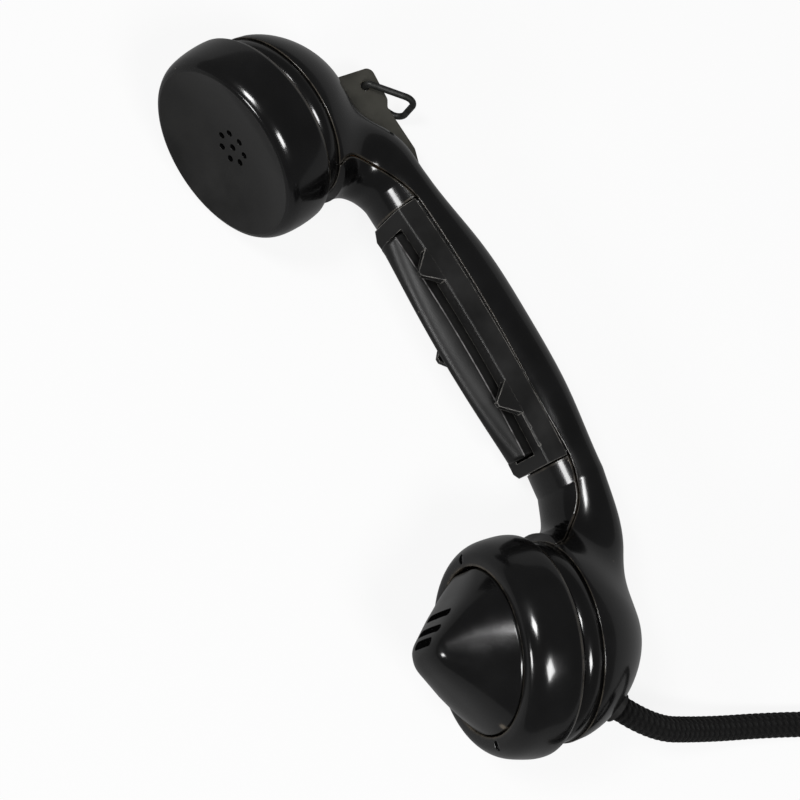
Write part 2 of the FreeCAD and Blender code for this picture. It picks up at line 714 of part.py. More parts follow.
def beyond_face(inset):
    """Block on the open side of the slotted face, or of a plane inset behind it."""
    foot, top = mouth.at(*face_low), mouth.at(*face_high)
    along = (top - foot).normalize()
    out = V(along.y, -along.x, 0)
    if out.dot(mouth.across) < 0:
        out = out * -1
    corners = []
    for along_share, out_share in ((-1, 0), (1, 0), (1, 1), (-1, 1)):
        corner = foot + along * along_share * 60 + out * (out_share * 60 - inset)
        corners.append(corner + V(0, 0, -40))
    return Part.Face(Part.makePolygon(corners + corners[:1])).extrude(V(0, 0, 80))


def face_slots():
    """Sound slots across the face, each with round ends."""
    foot, top = mouth.at(*face_low), mouth.at(*face_high)
    along = (top - foot).normalize()
    inwards = V(-along.y, along.x, 0)
    if inwards.dot(mouth.across) > 0:
        inwards = inwards * -1
    slots = []
    for place, half in zip(slot_places, slot_halves):
        middle = foot + along * place - inwards * 1.0
        reach = half - slot_width / 2
        corners = [middle + along * a * slot_width / 2 + ACROSS * z * reach
                   for a, z in ((-1, -1), (1, -1), (1, 1), (-1, 1))]
        slot = Part.Face(Part.makePolygon(corners + corners[:1])).extrude(inwards * 4.2)
        ends = [Part.makeCylinder(slot_width / 2, 4.2, middle + ACROSS * z * reach, inwards) for z in (-1, 1)]
        slots.append(slot.fuse(ends))
    return slots


def mouthpiece():
    """Flanged collar that carries a hollow snout: a cone that narrows to a blunt edge, cut slanting."""
    tip = mouth_ring_depth + snout_height
    base_r = insert_r - collar_edge
    snout = Part.makeLoft([oval(mouth, mouth_ring_depth - 0.6, base_r, base_r - 0.01),
                           oval(mouth, tip, snout_tip_across, snout_tip_deep)], True, True)
    snout = snout.cut(beyond_face(0))
    collar = mouth.drum(insert_flange_low, mouth_ring_depth, insert_r)
    rim = mouth.drum(insert_flange_low, insert_flange_top - 0.05, insert_flange_r)
    skirt = mouth.drum(mic_flange_top + felt, insert_flange_low, insert_flange_r, insert_r - 0.6)
    outside = snout.fuse([collar, rim, skirt])
    inner_r = insert_r - wall
    foot_r = inner_r - collar_edge
    hollow = Part.makeLoft([oval(mouth, mouth_ring_depth - 1.2, foot_r, foot_r - 0.01),
                            oval(mouth, tip - 3.2, snout_tip_across - wall, 0.9)], True, True)
    hollow = hollow.cut(beyond_face(2.2))
    throat = mouth.drum(insert_flange_low - 1, mouth_ring_depth - 0.9, inner_r)
    return outside.cut([hollow, throat] + face_slots())


def microphone_pieces():
    rim_r = mouth_spigot_r - 0.4
    case_r = mouth_cup_r - 0.3
    top = mic_flange_top
    case = mouth.drum(mouth_spigot_top, top, rim_r)
    case = case.fuse(mouth.drum(capsule_floor, mouth_spigot_top, case_r))
    case = case.cut(mouth.drum(capsule_floor + 1.0, top + 1, case_r - 1.0))
    cup = mouth.drum(capsule_floor + 1.0, capsule_floor + 9.0, 12.0)
    cup = cup.cut(mouth.drum(capsule_floor + 3.0, capsule_floor + 10.0, 9.5))
    grain = mouth.drum(capsule_floor + 3.0, capsule_floor + 8.0, 9.4)
    cone_outline = [(capsule_floor + 9.0, 0), (capsule_floor + 9.0, 12.0), (top - 0.35, case_r - 1.6),
                    (top, case_r - 1.6), (capsule_floor + 9.4, 11.8), (capsule_floor + 9.4, 0)]
    diaphragm = mouth.turned(cone_outline)
    grille = mouth.drum(top, top + 0.5, insert_r - 1.0)
    holes = [mouth.drum(top - 1, top + 2, 1.2)]
    for ring, count in ((6.0, 6), (12.0, 12), (18.0, 18)):
        for i in range(count):
            angle = 2 * pi * i / count
            holes.append(mouth.drum(top - 1, top + 2, 1.2, u=ring * cos(angle), z=ring * sin(angle)))
    grille = grille.cut(holes)
    gasket = mouth.drum(top, top + felt, insert_flange_r, insert_r - 0.8)
    return {"microphone_case": case, "carbon_cup": cup, "carbon_grain": grain,
            "microphone_diaphragm": diaphragm, "microphone_grille": grille, "mouthpiece_gasket": gasket}


# ---- hanging lug and ring --------------------------------------------------------------------------------
def lug_blank():
    return plate([(-9.0, 28.0), (-9.3, 50.4, 2.6), (3.4, 50.4, 2.2), (6.2, 48.8, 2.0), (23.0, 50.9, 4.0),
                  (36.0, 47.5), (34.0, 41.0), (12.0, 34.0)], lug_thickness)


def hanging_lug():
    return lug_blank().cut(Part.makeCylinder(lug_hole_r, 10, lug_hole - V(0, 0, 5)))


def hanging_ring():
    """Wire ring: a rounded trapezium whose short side passes through the lug."""
    out = V(cos(radians(ring_rest_angle)), sin(radians(ring_rest_angle)), 0)

    def place(e, z):
        return lug_hole + out * e + ACROSS * z
    outline = [(0, -ring_half_top, 1.9), (ring_length, -ring_half_base, 3.4),
               (ring_length, ring_half_base, 3.4), (0, ring_half_top, 1.9)]
    path = rounded_wire(outline, place)
    edge = path.OrderedEdges[0]
    start = edge.valueAt(edge.FirstParameter)
    section = Part.Wire([Part.Circle(start, edge.tangentAt(edge.FirstParameter), ring_wire_r).toShape()])
    return path.makePipeShell([section], True, False)


# ---- inner wiring ------------------------------------------------------------------------------------------
wire_r = 0.7


def inner_wires():
    """Leads from the talk contacts to the contact springs of both capsules."""
    ear_way, mouth_way = wire_ways()
    wires = []
    for side in (-1, 1):
        for way, first, bend, head, floor, reach in (
                (ear_way, stack_x - stack_half - 2.0, 61.0, ear, ear_cup_floor, ear_spring_reach),
                (mouth_way, stack_x + stack_half + 2.0, 123.0, mouth, mouth_cup_floor, mouth_spring_reach)):
            points = [on_arch(first, 14.6, side * 4.6), on_arch(bend, 13.6, side * 4.6)]
            points += [point + V(0, 0, side * 1.3) for point in way]
            points.append(head.at(floor + 1.0, 1.0, side * (reach - 3.9)))
            wires.append(tube(points, wire_r))
    return wires


# ---- cord, coil and plug -----------------------------------------------------------------------------------
def cord_gland():
    """Rubber bush in the head that the cord comes out of."""
    start = exit_point - exit_direction * (gland_length - 1.5)
    sleeve = Part.makeCylinder(cord_r + gland_wall, gland_length, start, exit_direction)
    return sleeve.cut(Part.makeCylinder(cord_r + pin_fit, gland_length, start, exit_direction))


def report_bends(name, points):
    """Prints the radius of each bend of a cord, for the record of the design."""
    radii = []
    for before, corner, after in zip(points, points[1:], points[2:]):
        back, ahead = before - corner, after - corner
        half_turn = (pi - back.getAngle(ahead)) / 2
        radii.append(round(bend_share * min(back.Length, ahead.Length) / tan(half_turn), 1))
    print(name, "bend radii", radii, "length", round(bent_path(points).Length, 1))


def cord_points(lying):
    """From the bush to the side of the coil."""
    start = lying.multVec(exit_point - exit_direction * cord_inside)
    leave = lying.multVec(exit_point + exit_direction * cord_straight)
    return [start, leave] + cord_route


class Coil:
    """Ring of stored cord on the table: two turns side by side and a third in the groove above them.
    The cord comes in along its side. The tail leaves the top turn inwards, to the plug in the middle."""

    pitch = 2 * cord_r + coil_turn_gap
    inner = coil_mid_r - pitch / 2 - cord_r
    outer = coil_mid_r + pitch / 2 + cord_r
    height = 2 * cord_r + pitch * cos(radians(30))

    def __init__(self):
        arrive = (cord_route[-1] - cord_route[-2]).normalize()
        side = V(-arrive.y, arrive.x, 0)
        self.centre = cord_route[-1] - side * (self.outer + cord_r) - V(0, 0, cord_r)
        self.along, self.side = arrive, side

    def at(self, side, along, z=0.0):
        return self.centre + self.side * side + self.along * along + V(0, 0, z)

    def tie(self):
        """Strap round the stored turns, opposite to where the cord comes in."""
        def strap(grow):
            corner = self.at(-self.outer - grow, -tie_width / 2, tie_thickness - grow)
            wide = self.outer - self.inner + 2 * grow
            sides = [V(0, 0, 0), self.side * wide, self.side * wide + self.along * tie_width,
                     self.along * tie_width]
            points = [corner + side for side in sides]
            face = Part.Face(Part.makePolygon(points + points[:1]))
            return face.extrude(V(0, 0, self.height - tie_thickness + 2 * grow))
        return strap(tie_thickness).cut(strap(0))

    def turns(self):
        round_off = cord_r * 0.9
        outline = [(self.inner, 0, round_off),
                   (self.outer, 0, round_off),
                   (self.outer, cord_r * 2, round_off * 0.6),
                   (coil_mid_r + cord_r, self.height, round_off * 0.7),
                   (coil_mid_r - cord_r, self.height, round_off * 0.7),
                   (self.inner, cord_r * 2, round_off * 0.6)]
        face = Part.Face(rounded_wire(outline, lambda r, z: self.at(r, 0, z)))
        ring = face.revolve(self.centre, V(0, 0, 1), 360)
        return ring.cut(self.tie())

    def tail(self):
        """Last piece of cord, from the inside of the ring into the plug."""
        start = (self.inner ** 2 - plug_beside ** 2) ** 0.5 - coil_turn_gap
        foot = self.at(start, plug_beside, plug_ring_r)
        return Part.makeCylinder(cord_r, start - plug_reach + plug_relief + tail_held, foot, self.side * -1)

    def plug_place(self):
        return Head(self.at(plug_reach, plug_beside, plug_ring_r), self.side * -1, self.along)


def plug_pieces(head):
    """Round plug: tapered relief, body, coupling ring, insulating disc and pins."""
    ring_start = plug_relief + plug_length - plug_ring_length * 0.4
    end = ring_start + plug_ring_length
    disc_top = end - 5.0
    outline = [(0, cord_r + 0.05), (0, cord_r + 1.3, 0.5), (plug_relief, cord_r + 3.0),
               (plug_relief + 2.5, plug_r, 1.5), (ring_start - 0.3, plug_r), (ring_start - 0.3, plug_r - 1.0),
               (end - 7.0, plug_r - 1.0), (end - 7.0, 0), (plug_relief + tail_held, 0),
               (plug_relief + tail_held, cord_r + 0.05)]
    body = head.turned(outline)
    ring = head.drum(ring_start, end, plug_ring_r, plug_r - 0.9)
    flutes = []
    for i in range(18):
        angle = 2 * pi * i / 18 + pi / 18
        reach = plug_ring_r + 0.5
        flutes.append(head.drum(ring_start - 1, end + 1, 0.9, u=reach * cos(angle), z=reach * sin(angle)))
    ring = ring.cut(flutes)
    disc = head.drum(end - 7.0, disc_top, plug_r - 1.0)
    pins, holes = [], []
    places = [(0.0, 0.0)] + [(plug_pin_circle * cos(pi / 2 * i), plug_pin_circle * sin(pi / 2 * i))
                             for i in range(4)]
    for u, z in places:
        pin = head.drum(end - 6.5, end - 0.8, plug_pin_r, u=u, z=z)
        pins.append(pin)
        holes.append(head.drum(end - 6.5, end + 1, plug_pin_r, u=u, z=z))
    return {"plug_body": body, "plug_ring": ring, "plug_disc": disc.cut(holes),
            "plug_pins": Part.makeCompound(pins)}


# ---- laying it down ----------------------------------------------------------------------------------------
def lie_placement(rigid):
    """Turns the handset on its side and sets it on Z = 0, centred over the origin."""
    tilt = FreeCAD.Placement(V(0, 0, 0), FreeCAD.Rotation(V(1, 0, 0), -lie_tilt))
    roll = FreeCAD.Placement(V(0, 0, 0), FreeCAD.Rotation(V(0, 1, 0), lie_roll))
    turn = roll.multiply(tilt)
    whole = Part.makeCompound(rigid)
    whole.Placement = turn
    box = whole.optimalBoundingBox(False, False)
    shift = FreeCAD.Placement(V(-(box.XMin + box.XMax) / 2, -(box.YMin + box.YMax) / 2, -box.ZMin),
                              FreeCAD.Rotation())
    return shift.multiply(turn)


def cord_pieces(lying):
    """The cord and what is on it, made where they lie on the table."""
    points = cord_points(lying)
    report_bends("cord", points)
    coil = Coil()
    pieces = {"cord": tube(points, cord_r), "cord_coil": coil.turns(), "cord_tie": coil.tie(),
              "cord_tail": coil.tail()}
    pieces.update(plug_pieces(coil.plug_place()))
    return pieces


def main():
    form = outer_form()
    body = handle_body(form)
    body = body.cut(cup_screw_holes(ear, ear_cup_floor, ear_spring_reach)
                    + cup_screw_holes(mouth, mouth_cup_floor, mouth_spring_reach))
    ear_cover, mouth_cover = neck_covers(form)
    leaves, spacers, clamp_screws = contacts()
    ear_springs, ear_screws = cup_springs(ear, ear_cup_floor, capsule_floor, ear_spring_reach)
    mouth_springs, mouth_screws = cup_springs(mouth, mouth_cup_floor, capsule_floor, mouth_spring_reach)
    nodes = {
        "handle_body": body,
        "ear_neck_cover": ear_cover,
        "mouth_neck_cover": mouth_cover,
        "key_frame": key_frame(),
        "talk_key": talk_key(),
        "key_pin": key_pin(),
        "key_spring": key_spring(),
        "key_frame_screws": frame_screws_group(),
        "moving_contact_leaf": leaves[0],
        "fixed_contact_leaves": Part.makeCompound(leaves[1:]),
        "contact_spacers": Part.makeCompound(spacers),
        "contact_screws": Part.makeCompound(clamp_screws),
        "ear_cap": ear_cap(),
        "ear_contact_springs": Part.makeCompound(ear_springs),
        "ear_spring_screws": Part.makeCompound(ear_screws),
        "mouth_ring": mouth_ring(),
        "mouthpiece": mouthpiece(),
        "mouth_contact_springs": Part.makeCompound(mouth_springs),
        "mouth_spring_screws": Part.makeCompound(mouth_screws),
        "hanging_lug": hanging_lug(),
        "hanging_ring": hanging_ring(),
        "inner_wires": Part.makeCompound(inner_wires()),
        "cord_gland": cord_gland(),
    }
    nodes.update(receiver_pieces())
    nodes.update(microphone_pieces())

    lying = lie_placement([shape for name, shape in nodes.items() if name != "hanging_ring"])
    os.makedirs("parts", exist_ok=True)
    laid_nodes = {}
    for name, shape in nodes.items():
        laid_nodes[name] = shape.copy()
        laid_nodes[name].Placement = lying.multiply(shape.Placement)
    laid_nodes.update(cord_pieces(lying))
    for name, laid in laid_nodes.items():
        laid.exportStep("parts/" + name + ".step")
        print(name, "solids", len(laid.Solids), "valid", laid.isValid(), "mm3", round(laid.Volume, 1))
    print("lying placement", lying)


main()
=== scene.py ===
# %% [markdown]
# # Hand receiver of a field telephone
#
# A black moulded handle with a round head at each end, a key in its grip, and a braided cord.
# The CAD model gives every size and place. This script loads it, gives every piece its finish, and
# makes the smooth and the soft pieces again as surfaces that are worked out with numpy.

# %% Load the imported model
from math import cos, pi, radians, sin
import bpy
import numpy as np
from mathutils import Matrix


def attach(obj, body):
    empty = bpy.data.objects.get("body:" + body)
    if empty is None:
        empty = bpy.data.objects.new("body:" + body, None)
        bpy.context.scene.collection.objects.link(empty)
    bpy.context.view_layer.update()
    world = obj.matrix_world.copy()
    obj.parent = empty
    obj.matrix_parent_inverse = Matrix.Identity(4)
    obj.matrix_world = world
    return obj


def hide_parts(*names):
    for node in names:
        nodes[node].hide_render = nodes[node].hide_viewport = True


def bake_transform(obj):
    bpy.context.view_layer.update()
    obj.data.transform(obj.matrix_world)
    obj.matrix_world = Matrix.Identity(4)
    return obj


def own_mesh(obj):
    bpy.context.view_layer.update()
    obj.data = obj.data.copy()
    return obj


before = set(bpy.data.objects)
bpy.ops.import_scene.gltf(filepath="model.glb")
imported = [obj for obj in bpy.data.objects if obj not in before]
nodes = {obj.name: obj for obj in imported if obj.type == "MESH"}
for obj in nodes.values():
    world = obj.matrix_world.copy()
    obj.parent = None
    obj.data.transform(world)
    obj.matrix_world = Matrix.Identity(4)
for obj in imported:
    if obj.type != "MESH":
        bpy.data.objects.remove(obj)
scene = bpy.context.scene
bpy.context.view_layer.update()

# %% [markdown]
# ## Two frames
#
# The handset is drawn upright: X runs from the ear head to the mouth head, +Y is the back of the grip
# and Z goes across it, in millimetres, from the centre of the ear cap's lip. It lies on its side on the
# table, so one turn and one shift take a drawn point to its place. Every shape below is worked out
# upright, where its formula is short, and laid down last.

# %% Lay the handset down
LIE_TILT, LIE_ROLL = radians(-22.95), radians(-1.04)
LIE_SHIFT = np.array([-94.4463, -8.40624, 30.6761])
TILT = np.array([[1, 0, 0], [0, cos(LIE_TILT), -sin(LIE_TILT)], [0, sin(LIE_TILT), cos(LIE_TILT)]])
ROLL = np.array([[cos(LIE_ROLL), 0, sin(LIE_ROLL)], [0, 1, 0], [-sin(LIE_ROLL), 0, cos(LIE_ROLL)]])
LIE_TURN = ROLL @ TILT


def lay(points):
    """Upright millimetres to metres on the table: tilted about X, rolled about Y, then shifted."""
    return (np.asarray(points, float) @ LIE_TURN.T + LIE_SHIFT) / 1000


def unit(vectors):
    """Vectors divided by their length."""
    return vectors / np.maximum(np.linalg.norm(vectors, axis=-1, keepdims=True), 1e-12)


print("drawn centre of the ear lip lies at", lay([0, 0, 0]).round(4))

# %% [markdown]
# ## Camera
#
# The handset is seen from almost straight above, half a metre away. The camera's own right and down
# directions are written in the table's frame, and its lens gives the same framing on a square picture.

# %% Camera
SEEN_RIGHT, SEEN_DOWN = np.array([0.4552, 0.8864, 0.0843]), np.array([0.8874, -0.4439, -0.1245])
CAMERA_AT = np.array([39.56, -70.44, 505.59]) / 1000
SENSOR, LENS, NEAREST = 36, 67.5, 0.01


def stand(name, data, right, up, back, place):
    """Camera or lamp in the scene, turned to its own right, up and back directions."""
    holder = bpy.data.objects.new(name, data)
    scene.collection.objects.link(holder)
    turn = np.eye(4)
    turn[:3] = np.column_stack([right, up, back, place])
    holder.matrix_world = Matrix(turn.tolist())
    return holder


right = unit(SEEN_RIGHT)
down = unit(SEEN_DOWN - right * (SEEN_DOWN @ right))
camera_data = bpy.data.cameras.new("camera")
camera_data.sensor_width, camera_data.lens, camera_data.clip_start = SENSOR, LENS, NEAREST
scene.camera = stand("camera", camera_data, right, -down, np.cross(right, -down), CAMERA_AT)
print("camera looks along", np.cross(-down, right).round(3))

# %% [markdown]
# ## The cord's route
#
# The cord leaves the mouth head, drops to the table and runs out of view. What is left of it is put
# away as a neat coil of three turns beside the handset, and it ends in a round plug. Its line is one
# NURBS curve, because such a curve bends like a cord: it never kinks at a control point.

# %% Route of the cord
CORD_R = 4.25
EXIT, EXIT_WAY = np.array([216.2, 19.5, 0.0]), unit(np.array([0.886, 0.463, 0.0]))
CORD_INSIDE, CORD_STRAIGHT = 8.0, 13.0
head_run = lay([EXIT - EXIT_WAY * CORD_INSIDE, EXIT + EXIT_WAY * CORD_STRAIGHT]) * 1000
run = np.array([(146, 35.5, 9.5), (156, 57, CORD_R), (167, 79, CORD_R), (190, 88, CORD_R),
                (241, 76.2, CORD_R)])

along = unit(run[-1] - run[-2])
side = np.array([-along[1], along[0], 0])
COIL_MIDDLE, COIL_GAP = 42.5, 0.3
HALF_PITCH = (2 * CORD_R + COIL_GAP) / 2
coil_outer = COIL_MIDDLE + HALF_PITCH + CORD_R
coil_centre = run[-1] - side * (coil_outer + CORD_R) - [0, 0, CORD_R]


def from_coil(across, forward, height):
    """Point from the coil's middle: across towards the side the cord comes in on, forward along it."""
    place = coil_centre + across[..., None] * side + forward[..., None] * along
    place[..., 2] = height
    return place


# each row: turns made, then the turn's radius less the coil's middle one, and its height
WINDING = np.array([
    [0.0, 12.6, CORD_R], [0.06, 11.6, CORD_R], [0.12, 7.4, CORD_R], [0.2, HALF_PITCH, CORD_R],
    [0.92, HALF_PITCH, CORD_R], [1.0, HALF_PITCH, CORD_R], [1.06, 2.6, CORD_R], [1.12, -2.0, CORD_R],
    [1.2, -HALF_PITCH, CORD_R], [1.88, -HALF_PITCH, CORD_R], [1.94, -HALF_PITCH, 5.4], [2.0, -3.8, 7.8],
    [2.05, -2.4, 10.9], [2.1, -0.9, 12.7], [2.15, -0.1, 12.9], [2.24, 0.0, 12.1], [2.9, 0.0, 12.1]])
# each row: across, forward and height of the tail that leads into the plug
TAIL = np.array([[39.6, -20.5, 12.3], [42.3, -9.5, 12.6], [38.0, 1.0, 13.0], [30.0, 5.6, 13.2],
                 [20.0, 5.7, 13.2], [6.0, 5.7, 13.2]])
FIRST_TURN, LAST_TURN, PER_TURN = 0.03, 2.88, 18
turns = np.arange(FIRST_TURN, LAST_TURN, 1 / PER_TURN)
radius, height = (np.interp(turns, WINDING[:, 0], WINDING[:, i]) for i in (1, 2))
radius = (COIL_MIDDLE + radius) / cos(pi / PER_TURN)
coil_run = from_coil(radius * np.cos(2 * pi * turns), radius * np.sin(2 * pi * turns), height)
route = np.vstack([head_run, run[:-1], coil_run, from_coil(*TAIL.T)]) / 1000
print("control points of the cord", len(route))

# %% [markdown]
# ## From the curve to points along it
#
# The braid is a mesh that follows the curve, so the curve is made first, without any thickness, and
# its points are read back. Order 3 keeps the line close to its control points, and the end points are
# used, so that it starts in the bush and ends in the plug.

# %% The cord's line
curve = bpy.data.curves.new("cord_line", "CURVE")
curve.dimensions, curve.resolution_u = "3D", 24
spline = curve.splines.new("NURBS")
spline.points.add(len(route) - 1)
spline.points.foreach_set("co", np.column_stack([route, np.ones(len(route))]).ravel())
spline.order_u, spline.use_endpoint_u = 3, True
line_object = bpy.data.objects.new("cord_line", curve)
scene.collection.objects.link(line_object)
bpy.context.view_layer.update()
line_mesh = bpy.data.meshes.new_from_object(line_object)


def numbers_of(items, field, width=3):
    """One field of many items as an array."""
    values = np.empty(len(items) * width)
    items.foreach_get(field, values)
    return values.reshape(-1, width)


line = numbers_of(line_mesh.vertices, "co")
bpy.data.objects.remove(line_object)
bpy.data.meshes.remove(line_mesh)


def even_line(points, step):
    """The same line with points that are equally far apart, by interpolation over its running length."""
    run_length = np.concatenate([[0], np.cumsum(np.linalg.norm(np.diff(points, axis=0), axis=1))])
    wanted = np.linspace(0, run_length[-1], int(round(run_length[-1] / step)) + 1)
    return np.stack([np.interp(wanted, run_length, points[:, i]) for i in range(3)], -1), wanted


print("points read from the curve", len(line))

# %% [markdown]
# ## Mesh from a grid of points
#
# Most new pieces here are grids: rows along the piece and columns across or round it. One helper joins
# neighbouring points by quads, and one makes an object of points and faces.

# %% Mesh helpers
def grid_faces(rows, columns):
    """Quads between neighbouring points of a grid whose last column joins the first."""
    r, c = np.meshgrid(np.arange(rows - 1), np.arange(columns), indexing="ij")
    after, here, beyond = (c + 1) % columns, r * columns, (r + 1) * columns
    return np.stack([here + c, here + after, beyond + after, beyond + c], -1).reshape(-1, 4)


def tube_faces(rows, columns):
    """Quads of a closed grid, and one face over each of its two ends."""
    last = (rows - 1) * columns
    ends = [list(range(columns))[::-1], list(range(last, last + columns))]
    return grid_faces(rows, columns).tolist() + ends


def circle_angles(count):
    """Even angles, once round."""
    return np.arange(count) / count * 2 * pi


def make_mesh(name, points, faces, smooth=True):
    """Object at the origin from an array of points in metres and a list of faces."""
    mesh = bpy.data.meshes.new(name)
    mesh.from_pydata(np.asarray(points).reshape(-1, 3), [], faces)
    mesh.polygons.foreach_set("use_smooth", np.full(len(mesh.polygons), smooth))
    mesh.update()
    piece = bpy.data.objects.new(name, mesh)
    scene.collection.objects.link(piece)
    return piece


def across_line(points):
    """Two directions across a line at each of its points, one level and one square to it, where the
    level one is the line's direction crossed with straight up."""
    way = unit(np.gradient(points, axis=0))
    level = unit(np.cross(way, [0, 0, 1.0]))
    return level, np.cross(level, way)


print("quads of a closed grid of 3 by 8 points", len(grid_faces(3, 8)))

# %% [markdown]
# ## The braided cord
#
# The cord has a thick braid of black thread, laid so steeply that it looks like close ribs across it.
# A smooth tube with a printed pattern would have a straight outline, so the ribs are real: the radius
# swells and falls once per rib, and each rib wavers a little round the cord.

# %% Cord
RIB, RIB_DEPTH, ROWS_PER_RIB, AROUND = 0.00225, 0.055, 7, 20
WAVER, WAVES, RIB_POWER = 0.5, 3, 0.7
cord_line, cord_run = even_line(line, RIB / ROWS_PER_RIB)
level, upward = across_line(cord_line)
angle = circle_angles(AROUND)
phase = cord_run[:, None] / RIB * 2 * pi + np.sin(angle * WAVES)[None, :] * WAVER
swell = 1 - RIB_DEPTH + RIB_DEPTH * np.abs(np.cos(phase / 2)) ** RIB_POWER
out = np.cos(angle)[:, None] * level[:, None, :] + np.sin(angle)[:, None] * upward[:, None, :]
ring_points = cord_line[:, None, :] + (CORD_R / 1000) * swell[..., None] * out
cord = make_mesh("braided_cord", ring_points, [face[::-1] for face in tube_faces(len(cord_line), AROUND)])
uv = cord.data.uv_layers.new(name="run")
corner = np.empty(len(cord.data.loops), int)
cord.data.loops.foreach_get("vertex_index", corner)
ribs_and_way = np.stack([cord_run[corner // AROUND] / RIB, (corner % AROUND) / AROUND], -1)
uv.data.foreach_set("uv", ribs_and_way.ravel())
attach(cord, "handset")
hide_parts("cord", "cord_coil", "cord_tail")
print("cord length", round(float(cord_run[-1]), 4), "rows", len(cord_line))

# %% [markdown]
# ## Heads
#
# Each end of the handset is round about its own axis. A place on a head is given as n along that axis
# from the lip of its cap, outwards, u across it towards the other head, and z across the handset.

# %% The two heads
class Head:
    """One end: its axis, its way across and its centre, and the sizes of its domed back. The back starts
    a band's depth behind the lip, and the grip meets it in a fan round a hollow beside its edge."""

    def __init__(self, centre_x, lean, towards, edge_r, band, dome, foot_u, gap):
        self.centre = np.array([centre_x, 0.0, 0.0])
        self.axis = np.array([towards * sin(radians(lean)), -cos(radians(lean)), 0.0])
        self.across = np.array([towards * cos(radians(lean)), sin(radians(lean)), 0.0])
        self.edge_r, self.band, self.dome, self.foot_u = edge_r, band, dome, foot_u
        self.hollow = self.at(-band, edge_r + gap)[:2]
        self.to_axis = gap + edge_r
        self.fan = radians(90 + lean)

    def at(self, n, u, z=0.0):
        """Centre plus n along the axis, u across it and z across the handset."""
        n, u, z = np.broadcast_arrays(*[np.asarray(v, float)[..., None] for v in (n, u, z)])
        return self.centre + n * self.axis + u * self.across + z * np.array([0, 0, 1.0])


ear = Head(0.0, 13.1, 1, edge_r=29.2, band=7.5, dome=25.95, foot_u=25.8, gap=9.0)
mouth = Head(185.5, 18.9, -1, edge_r=31.9, band=8.9, dome=31.6, foot_u=27.8, gap=11.2)
print("ear axis", ear.axis.round(3), "mouth axis", mouth.axis.round(3))

# %% [markdown]
# ## The moulded handle as one formula
#
# The handle is one smooth moulding: two domed heads and a curved grip that melt into each other. A
# chain of rounded rings with fillets leaves faint steps in the shine of such a glossy piece. Here one
# formula gives every point of space a number that is below zero inside the moulding. Domes and grip
# each have a simple formula, and a smooth minimum blends them, so the necks are as soft as real ones.

# %% Formula of the form
DOME_POWER, NECK_BLEND = 1.64, 10.4
EAR_SIDE, MOUTH_SIDE = 1.35, 1.65
GRIP_AT = np.array([0, 0.45, 0.75, 1, 1.25, 1.5, 1.75, 2, 2.25, 2.6, 3])
GRIP_INNER = np.array([9.2, 7.93, 7.88, 9.97, 11, 13.5, 15, 11.92, 10.58, 11.19, 11.2])
GRIP_OUTER = np.array([34, 33.73, 32.54, 31.06, 36.67, 38.02, 36.52, 31.9, 32.6, 40.04, 35])
GRIP_HALF = np.array([14, 14, 14.3, 14.8, 15, 15, 15.2, 15.5, 15.8, 16, 16])


def smooth_curve(x, y):
    """Cubic spline through the values y at x whose bend is carried over at both end joints, as a
    function. The slopes' changes come from one small set of linear equations."""
    gap, rise = np.diff(x), np.diff(y) / np.diff(x)
    count = len(x)
    system, wanted = np.zeros((count, count)), np.zeros(count)
    for i in range(1, count - 1):
        system[i, i - 1:i + 2] = gap[i - 1], 2 * (gap[i - 1] + gap[i]), gap[i]
        wanted[i] = 6 * (rise[i] - rise[i - 1])
    system[0, :3] = gap[1], -(gap[0] + gap[1]), gap[0]
    system[-1, -3:] = gap[-1], -(gap[-2] + gap[-1]), gap[-2]
    bend = np.linalg.solve(system, wanted)

    def value(at):
        """The cubic of the stretch that each place lies in."""
        i = np.clip(np.searchsorted(x, at) - 1, 0, count - 2)
        d = at - x[i]
        slope = rise[i] - gap[i] * (2 * bend[i] + bend[i + 1]) / 6
        return y[i] + d * (slope + d * (bend[i] / 2 + d * (bend[i + 1] - bend[i]) / (6 * gap[i])))
    return value


inner_reach, outer_reach, half_width = (smooth_curve(GRIP_AT, v) for v in (GRIP_INNER, GRIP_OUTER, GRIP_HALF))


def grip_place(x, y):
    """Station along the grip and distance from its hollow side: 0 to 1 fans round the ear neck's hollow,
    1 to 2 runs straight to the mouth neck, and 2 to 3 fans round that one's hollow."""
    ex, ey = x - ear.hollow[0], y - ear.hollow[1]
    mx, my = x - mouth.hollow[0], y - mouth.hollow[1]
    share = ex / (mouth.hollow[0] - ear.hollow[0])
    station = np.where(ex < 0, 1 - np.arctan2(-ex, ey) / ear.fan,
                       np.where(mx > 0, 2 + np.arctan2(mx, my) / mouth.fan, 1 + share))
    reach = np.where(ex < 0, np.hypot(ex, ey),
                     np.where(mx > 0, np.hypot(mx, my), ey - share * (mouth.hollow[1] - ear.hollow[1])))
    return np.clip(station, 0, 3), reach


def dome_value(head, x, y, z):
    """How far outside a domed back: the p-th root of (r / edge)^p + (m / height)^p, less one and times the
    smaller size, where m is the distance behind the band and r the one from the axis."""
    dx, dy = x - head.centre[0], y - head.centre[1]
    n = dx * head.axis[0] + dy * head.axis[1]
    u = dx * head.across[0] + dy * head.across[1]
    r, m = np.sqrt(u * u + z * z) + 1e-9, np.maximum(-head.band - n, 0)
    shares = (r / head.edge_r) ** DOME_POWER + (m / head.dome) ** DOME_POWER
    return (shares ** (1 / DOME_POWER) - 1) * min(head.edge_r, head.dome)


def blended(a, b, width=NECK_BLEND):
    """Smooth minimum: the smaller value, rounded off where the two are within the blend's width."""
    share = np.clip(0.5 + 0.5 * (b - a) / width, 0, 1)
    return b * (1 - share) + a * share - width * share * (1 - share)


